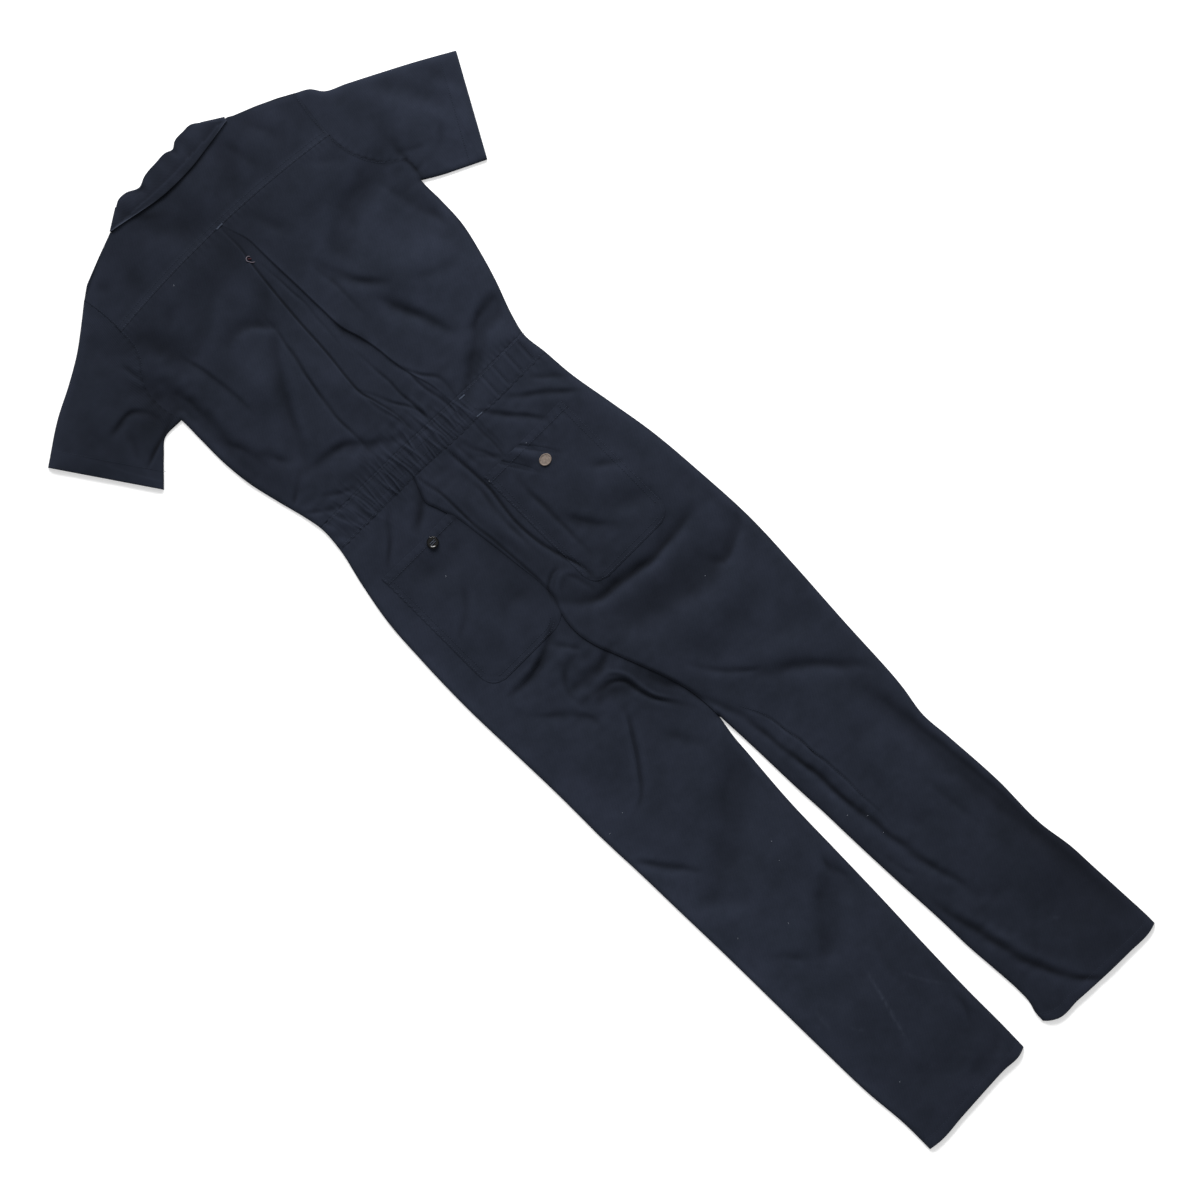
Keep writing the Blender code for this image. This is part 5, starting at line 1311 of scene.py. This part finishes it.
def front_pieces(side):
    """Bodice front, waistband and leg of one half, plain and lapped at the centre."""
    sign = 1 if side == "right" else -1
    lap = -sign * CENTRE_LAP
    y = rows_between(WAIST_LOW - SEAM_GAP, HEM_Y, HIDDEN_GRID)
    outer, inner = leg_edges(side, y)
    seam = CROTCH_X * ramp(y, FLY_END_Y, CROTCH_Y) + sign * 0.15
    lapped = seam + lap * np.clip((y - FLY_END_Y) / FLY_TAPER, 0, 1)
    front_panel("front_leg", side, np.where(y >= CROTCH_Y, lapped, inner), outer, y)
    y = rows_between(WAIST_HIGH - SEAM_GAP, WAIST_LOW + SEAM_GAP, HIDDEN_GRID)
    front_panel("front_band", side, np.full_like(y, lap), body_edge(side, y), y)

    # The bodice is worked out as a right one. Its level rows bend up to the neck and shoulder in its top part
    neck = collar_front(np.linspace(1, 0, 24))[:, :2] + (0.6, -0.5)
    shoulder_end = sign * ARMHOLES[side]["x"][-1], ARMHOLES[side]["y"][-1]
    top = walk([(-CENTRE_LAP, neck[0, 1]), *neck, (115, 727.0), (140, 717.2), shoulder_end], 5)
    level = np.arange(WAIST_HIGH + SEAM_GAP, COLLAR_UNDER_Y, HIDDEN_GRID)
    bent = np.linspace(0, 1, 12)
    bends = np.concatenate([np.zeros(len(level)), bent])[:, None]
    level = np.concatenate([level, np.full(len(bent), COLLAR_UNDER_Y)])[:, None]
    y = level + (top[:, 1] - level) * bends
    edge_y = y[:, -1:]
    above = np.interp(edge_y, [ARMPIT_Y, *FRONT_ARMHOLE["y"], shoulder_end[1]],
                      [sign * read(BODY, side, ARMPIT_Y), *FRONT_ARMHOLE["x"], shoulder_end[0]]) + 0.2
    edge = np.where(edge_y > ARMPIT_Y, above, sign * read(BODY, side, edge_y))
    share = (top[:, 0] - top[0, 0]) / (top[-1, 0] - top[0, 0])
    wide = top[0, 0] + (edge - top[0, 0]) * share
    x = wide + (top[:, 0] - wide) * ramp(bends, 0, 0.4)
    x = np.where(np.arange(len(top)) == len(top) - 1, edge, x) * sign
    panel(f"front_{side}", x, y, front_top(side, x, y))


# ---------------------------------------------------------------- sewing

STITCH_ALONG = np.array([-0.5, -0.42, 0, 0.42, 0.5])            # where a stitch's rings lie, as shares of its length
STITCH_FAT = np.array([0.15, 0.8, 1.0, 0.8, 0.15])              # their widths
STITCH_DROP = np.array([-0.35, -0.05, 0.0, -0.05, -0.35])       # and how far they are sunk
STITCH_SIDES, STITCH_FLATNESS = 6, 0.8


def circle(sides):
    """Evenly spaced points round a circle 1 in radius."""
    angle = np.linspace(0, 2 * math.pi, sides + 1)[:-1]
    return join(np.cos(angle), np.sin(angle))


def stitches(path, top, pitch=3.0, length=2.3, width=0.5, rise=0.22, across=False):
    """Stitches along a line on the cloth: each a short spindle, thick in its middle and sunk at its ends.

    Returns their points and faces. across turns each stitch square to the line, as in a bartack.
    """
    centre = walk(path, pitch)
    ahead = unit(np.gradient(centre, axis=0))
    if across:
        ahead = join(-ahead[:, 1], ahead[:, 0])
    beside = join(-ahead[:, 1], ahead[:, 0])
    spine = centre[:, None] + ahead[:, None] * (STITCH_ALONG * length)[:, None]
    height = top(spine[..., 0], spine[..., 1]) + rise + STITCH_DROP
    ring = circle(STITCH_SIDES) * (STITCH_FAT * width / 2)[:, None, None]
    flat = spine[:, :, None] + beside[:, None, None] * ring[..., :1]
    points = join(flat[..., 0], flat[..., 1], height[..., None] + ring[..., 1] * STITCH_FLATNESS)
    one = tube_faces(len(STITCH_ALONG), STITCH_SIDES)
    faces = one + (np.arange(len(centre)) * len(STITCH_ALONG) * STITCH_SIDES)[:, None, None]
    return points.reshape(-1, 3), faces.reshape(-1, 4)


def sew(name, rows, finish):
    """One object from several rows of stitches or strands, each given as its points and faces."""
    starts = np.cumsum([0] + [len(points) for points, _ in rows])
    points = np.concatenate([points for points, _ in rows])
    faces = np.concatenate([faces + start for (_, faces), start in zip(rows, starts)])
    fit(build_mesh(name, points, [facing(points, faces)]), finish)


def seam_run(x0, x1, y, step=3.0):
    """Points along a seam at y, which is level or a function of x."""
    x = np.linspace(x0, x1, max(3, int(abs(x1 - x0) / step)))
    return join(x, y(x) if callable(y) else y)


YOKE_ROWS = (1.8, 7.5)                          # how far above the yoke seam, the lower one faded
ARMHOLE_ROWS = {"left": (590, 692, 14), "right": (560, 690, 16)}
POCKET_ROWS = (2.2, 8.0)                        # how far inside the pocket's edge, the outer one faded
CROTCH_ROW = [(36, -216), (48, -240), (53, -264), (57, -290), (60, -320), (63, -360), (64, -400)]


def topstitching():
    """Every row of stitches that shows: the faded ones, and the rest."""
    faded, rows = ([stitches(seam_run(-172, 171, lambda x: yoke_seam(x) + off, 8.0), yoke_top)] for off in YOKE_ROWS)
    for side, sign in (("left", -1), ("right", 1)):
        y = np.linspace(*ARMHOLE_ROWS[side])
        edge = join(read(ARMHOLES[side], "x", y) - sign * 2.2, y)
        on_yoke = y > yoke_seam(edge[:, 0])
        rows += [stitches(edge[~on_yoke], upper_top), stitches(edge[on_yoke], yoke_top)]

        low, high, start = np.array([SLEEVE_UNDER[side][-1], SLEEVE_OVER[side][-1], SLEEVE_OVER[side][0]])
        hem = low + (high - low) * np.array([[0.02], [0.5], [0.98]]) + SLEEVE_HEM_ROW * unit(start - high)
        rows.append(stitches(hem, lambda x, y: sleeve_top(side, x, y) + 0.1))
        outer, inner = leg_edges(side, np.array([HEM_Y + 12]))
        x = inner + (outer - inner) * np.linspace(0.02, 0.98, 12)
        rows.append(stitches(join(x, read(HEMS[side], "y", x) + HEM_ROW), lambda x, y: leg_top(side, x, y) + 0.1))

        def pocket(x, y):
            return pocket_top(side, x, y) + 0.2

        # The left pocket's inner side lies under the seat's lap, so its rows end before it
        left, right = POCKET_SIDES[side]
        up = np.linspace(POCKET_LOW + POCKET_CORNER, POCKET_TOP - 2, 20)
        for off, sewn in zip(POCKET_ROWS, (faded, rows)):
            x = np.linspace(left + off, right - off, 40)[4:]
            x = x[x < -50] if side == "left" else x[:-4]
            uprights = (left + off,) if side == "left" else (right - off, left + off)
            sewn.append(stitches(join(x, pocket_low(side, x) + off), pocket))
            sewn += [stitches(join(place, up), pocket) for place in uprights]
        x = np.linspace(left + 3, -54 if side == "left" else right - 3, 20)
        faded.append(stitches(join(x, POCKET_HEM_Y), pocket))
    elastic = ELASTIC_LEFT, ELASTIC_RIGHT
    for ends, sewn in (((-172, ELASTIC_LEFT), faded), (elastic, rows), ((ELASTIC_RIGHT, 170), faded)):
        sewn += [stitches(seam_run(*ends, y), band_top) for y in (WAIST_LOW + 2.5, WAIST_HIGH - 2.5)]
    for x in UPRIGHT_ROWS:
        rows.append(stitches([(x, WAIST_LOW + 3), (x + 1, UPRIGHT_MIDDLE), (x + 2, WAIST_HIGH - 3)], band_top))
    rows += [stitches(seam_run(*elastic, y), band_top) for y in ELASTIC_ROWS]
    rows.append(stitches(CROTCH_ROW, lambda x, y: leg_top("right", x, y)))
    return faded, rows


def bartacks():
    """Short dense bars of thread at the head of the pleat and at the ends of the elastic."""
    bars = [
        ([(-4.5, 646.8), (4.5, 646.8)], lambda x, y: yoke_top(x, y) + 0.3),
        ([(58, 294), (66, 293.6)], band_top),
        ([(58, 263.6), (66, 263.2)], band_top),
    ]
    return [stitches(path, top, 0.7, 1.8, 0.7, 0.3, across=True) for path, top in bars]


# ---------------------------------------------------------------- trim

def rounded(r, start):
    """1 up to the start, then down a quarter of an ellipse to 0 at the edge."""
    return np.sqrt(np.clip(1 - np.clip((r - start) / (1 - start), 0, 1) ** 2, 0, 1))


def pocket_under(side, x, y, across, up):
    """Heights of the pocket round a place, on a grid of 9 by 9 points."""
    steps = np.linspace(-1, 1, 9)
    return pocket_top(side, *np.meshgrid(x + across * steps, y + up * steps))


def turned_piece(part, finish, x, y, radii, profile, base):
    """A closed round or oval piece: a height over radius and angle on top, and flat below.

    profile(r, angle) gives the height above the base at a share r of the radius.
    """
    steps = 96
    r = np.concatenate([np.linspace(0.02, 0.9, 46), np.linspace(0.915, 1, 8)])[:, None]
    angle = np.linspace(0, 2 * math.pi, steps + 1)[None, :-1]
    plan = x + radii[0] * r * np.cos(angle), y + radii[1] * r * np.sin(angle)
    top, under = join(*plan, base + profile(r, angle)), join(*plan, base)
    points = np.concatenate([top.reshape(-1, 3), under.reshape(-1, 3), [(x, y, top[0, :, 2].mean()), (x, y, base)]])
    here, below = numbered(len(r), steps, ring=True), len(r) * steps
    quads = grid_faces(here)[:, [0, 3, 2, 1]]
    edge, hub = here[-1], here[0]
    rim = join(edge[:-1], edge[:-1] + below, edge[1:] + below, edge[1:])
    fans = np.concatenate([join(2 * below, hub[:-1], hub[1:]),
                           join(2 * below + 1, hub[1:] + below, hub[:-1] + below)])
    made = build_mesh(f"trim_{part}", points, [np.concatenate([quads, quads[:, ::-1] + below, rim]), fans])
    fit(made, finish, part)


def pocket_button():
    """Four-hole button 15 mm across: a raised rim, a dished middle and four sunk holes, sewn by two stitches."""
    def profile(r, angle):
        rim = 2.5 * np.exp(-((r - 0.8) / 0.13) ** 4)
        dish = (1.6 + 0.9 * np.clip((r - 0.58) / 0.22, 0, 1)) * (r < 0.8)
        height = np.maximum(rim, dish) * rounded(r, 0.86) + 0.25
        for hole in np.radians((45, 135, 225, 315)):
            away = np.hypot(r * np.cos(angle) - 0.29 * math.cos(hole), r * np.sin(angle) - 0.29 * math.sin(hole))
            height = height - 1.1 * (1 - ramp(away, 0.10, 0.16))
        return height

    base = float(pocket_under("left", BUTTON_X, BUTTON_Y, 8, 8).max()) + 0.1
    turned_piece("pocket_button", BUTTON, BUTTON_X, BUTTON_Y, BUTTON_RADII, profile, base)
    rows = [stitches([(BUTTON_X + across, BUTTON_Y + up) for across in (-2.2, 0, 2.2)],
                     lambda x, y: np.full(np.shape(x), base + 1.9), 2.2, 4.0, 0.7, 0.0) for up in (-1.2, 1.2)]
    # The thread is pale, which paints a glint in the button's middle
    sew("trim_button_thread_and_glint", rows, PALE_THREAD_AND_PAINTED_GLINT)


def pocket_patch():
    """A bare oval patch 16 by 14 mm with a raised overlocked edge."""
    def profile(r, angle):
        body = 0.7 + 0.25 * (1 - r ** 2)
        rope = 0.65 * bell(r - 0.9, 0.07) * (1 + 0.18 * np.sin(angle * 46 + r * 20))
        weave = 0.05 * np.sin(r * 60 * np.cos(angle)) * np.sin(r * 60 * np.sin(angle))
        return (body + rope + weave) * (0.2 + 0.8 * rounded(r, 0.9))

    base = float(pocket_under("right", PATCH_X, PATCH_Y, 9, 7).mean()) + 0.4
    turned_piece("pocket_patch", PATCH, PATCH_X, PATCH_Y, PATCH_RADII, profile, base)


def strand(x, y, top, lift, radius):
    """A closed round strand lying on the cloth along x and y, tapering to both ends."""
    path = join(x, y, top(x, y) + lift)
    ahead = unit(np.gradient(path, axis=0))
    beside = unit(np.cross(ahead, (0, 0, 1.0)))
    above = np.cross(beside, ahead)
    ring = circle(8)
    fat = radius * np.sqrt(np.clip(1.02 - np.linspace(-1, 1, len(path)) ** 8, 0, 1))
    out = beside[:, None] * ring[:, :1] + above[:, None] * ring[:, 1:]
    return (path[:, None] + out * fat[:, None, None]).reshape(-1, 3), tube_faces(len(path), len(ring))


THREAD_LOOP = [(0.6, 594.4), (-1.6, 596.8), (-4.4, 596.2), (-6, 593.8), (-4.6, 590.4), (-2.4, 587.4), (0.4, 585.6)]


def thread_end():
    """A pale loop of thread 8 mm across left in the pleat, with a short rust end in it."""
    sew("trim_thread_loop", [strand(*walk(THREAD_LOOP, 0.6).T, upper_top, 0.8, 0.45)], LOOP_THREAD)
    run = np.linspace(0, 4, 9)
    sew("trim_rust_end", [strand(run - 4, 594.5 - 0.8 * run, upper_top, 0.7, 0.8)], RUST_THREAD)


LINT_PLACES = [
    (-106, 150, 2.6), (-90, 635, 2.0), (13, 195, 1.8), (-187, -213, 2.2), (-167, -414, 2.2), (-110, -444, 2.6),
    (-54, -359, 1.8), (51, -420, 2.0), (34, -402, 1.6), (-151, -677, 2.2), (118, -73, 1.6), (-158, -206, 1.6),
    (-64, -382, 1.3), (50, -448, 1.6), (78, 196, 1.2),
]


def lint():
    """Loose white fibres caught on the cloth at x and y, each of its own length and bent."""
    rows = []
    for x0, y0, length in LINT_PLACES:
        angle = RANDOM.uniform(0, math.pi)
        run = np.linspace(-1, 1, 7)
        bend = RANDOM.uniform(-0.5, 0.5) * length
        x = x0 + length / 2 * run * math.cos(angle) + bend * run ** 2 * math.sin(angle)
        y = y0 + length / 2 * run * math.sin(angle) - bend * run ** 2 * math.cos(angle)
        side = "left" if x0 < CROTCH_X else "right"
        left, right = POCKET_SIDES[side]
        on_pocket = left < x0 < right and POCKET_LOW < y0 < POCKET_TOP
        below_yoke = (lambda x, y: pocket_top(side, x, y)) if on_pocket else (lambda x, y: leg_top(side, x, y))
        rows.append(strand(x, y, upper_top if y0 > WAIST_HIGH else below_yoke, 0.3, 0.16))
    sew("trim_lint", rows, LINT)


# ---------------------------------------------------------------- studio

FLOOR_HALF, FLOOR_Z = 6000.0, -0.3
KEY_AZIMUTH, KEY_RISE, KEY_AWAY = math.radians(66), math.radians(34), 5
CAMERA_PLACE, CAMERA_TURN = (0.0061, -0.0031, 12.0), math.radians(-45)
SENSOR, VIEW_WIDTH = 36.0, 1.464


def studio():
    """A pale table, a large soft light from beyond the collar, a weaker one from its right, and the camera."""
    corners = np.array([(x * FLOOR_HALF, y * FLOOR_HALF, FLOOR_Z) for x, y in ((-1, -1), (1, -1), (1, 1), (-1, 1))])
    floor = build_mesh("studio_floor", corners, [np.array([[0, 1, 2, 3]])])
    # White acrylic lit a little from below, which keeps the shadow round the cloth pale
    table_top = plain_finish("white acrylic, lit from below", "#dcdcdc", 0.95)
    set_inputs(table_top.node_tree.nodes["Principled BSDF"],
               {"Emission Color": (1, 1, 1, 1), "Emission Strength": 0.4})
    floor.data.materials.append(table_top)

    world = bpy.data.worlds.new("studio")
    bpy.context.scene.world = world
    world.use_nodes = True
    set_inputs(world.node_tree.nodes["Background"], {"Color": (1, 1, 1, 1), "Strength": 0.5})

    def put(data, place, turn):
        """Adds a light or the camera at a place, turned by three angles."""
        made = bpy.data.objects.new(data.name, data)
        made.location, made.rotation_euler = place, turn
        bpy.context.scene.collection.objects.link(made)
        return made

    def light(name, kind, settings, place):
        """Adds a light that points at the middle of the garment."""
        lamp = bpy.data.lights.new(name, kind)
        for key, value in settings.items():
            setattr(lamp, key, value)
        ahead = -unit(np.array(place))
        put(lamp, place, (math.acos(-ahead[2]), 0, math.atan2(ahead[1], ahead[0]) - math.pi / 2))

    flat = KEY_AWAY * math.cos(KEY_RISE)
    light("key_light", "SUN", {"energy": 3.0, "angle": math.radians(24)},
          (flat * math.cos(KEY_AZIMUTH), flat * math.sin(KEY_AZIMUTH), KEY_AWAY * math.sin(KEY_RISE)))
    light("side_light", "AREA", {"shape": "SQUARE", "size": 1.2, "energy": 60}, (1.9, 1.5, 1.3))

    lens = bpy.data.cameras.new("camera")
    lens.sensor_width, lens.lens, lens.clip_end = SENSOR, SENSOR * CAMERA_PLACE[2] / VIEW_WIDTH, 100
    bpy.context.scene.camera = put(lens, CAMERA_PLACE, (0, 0, CAMERA_TURN))
    bpy.context.scene.view_settings.view_transform = "Standard"


# ---------------------------------------------------------------- the garment

for half in ("left", "right"):
    front_pieces(half)
    back_leg(half)
    back_pocket(half)
    sleeve(half)
back_waistband()
upper_back()
back_yoke()
collar()
for name, rows, finish in zip(("yoke_topstitching", "topstitching"), topstitching(), (FADED_THREAD, THREAD)):
    sew(name, rows, finish)
sew("bartacks", bartacks(), PALE_THREAD_AND_PAINTED_GLINT)
pocket_button()
pocket_patch()
thread_end()
lint()
studio()
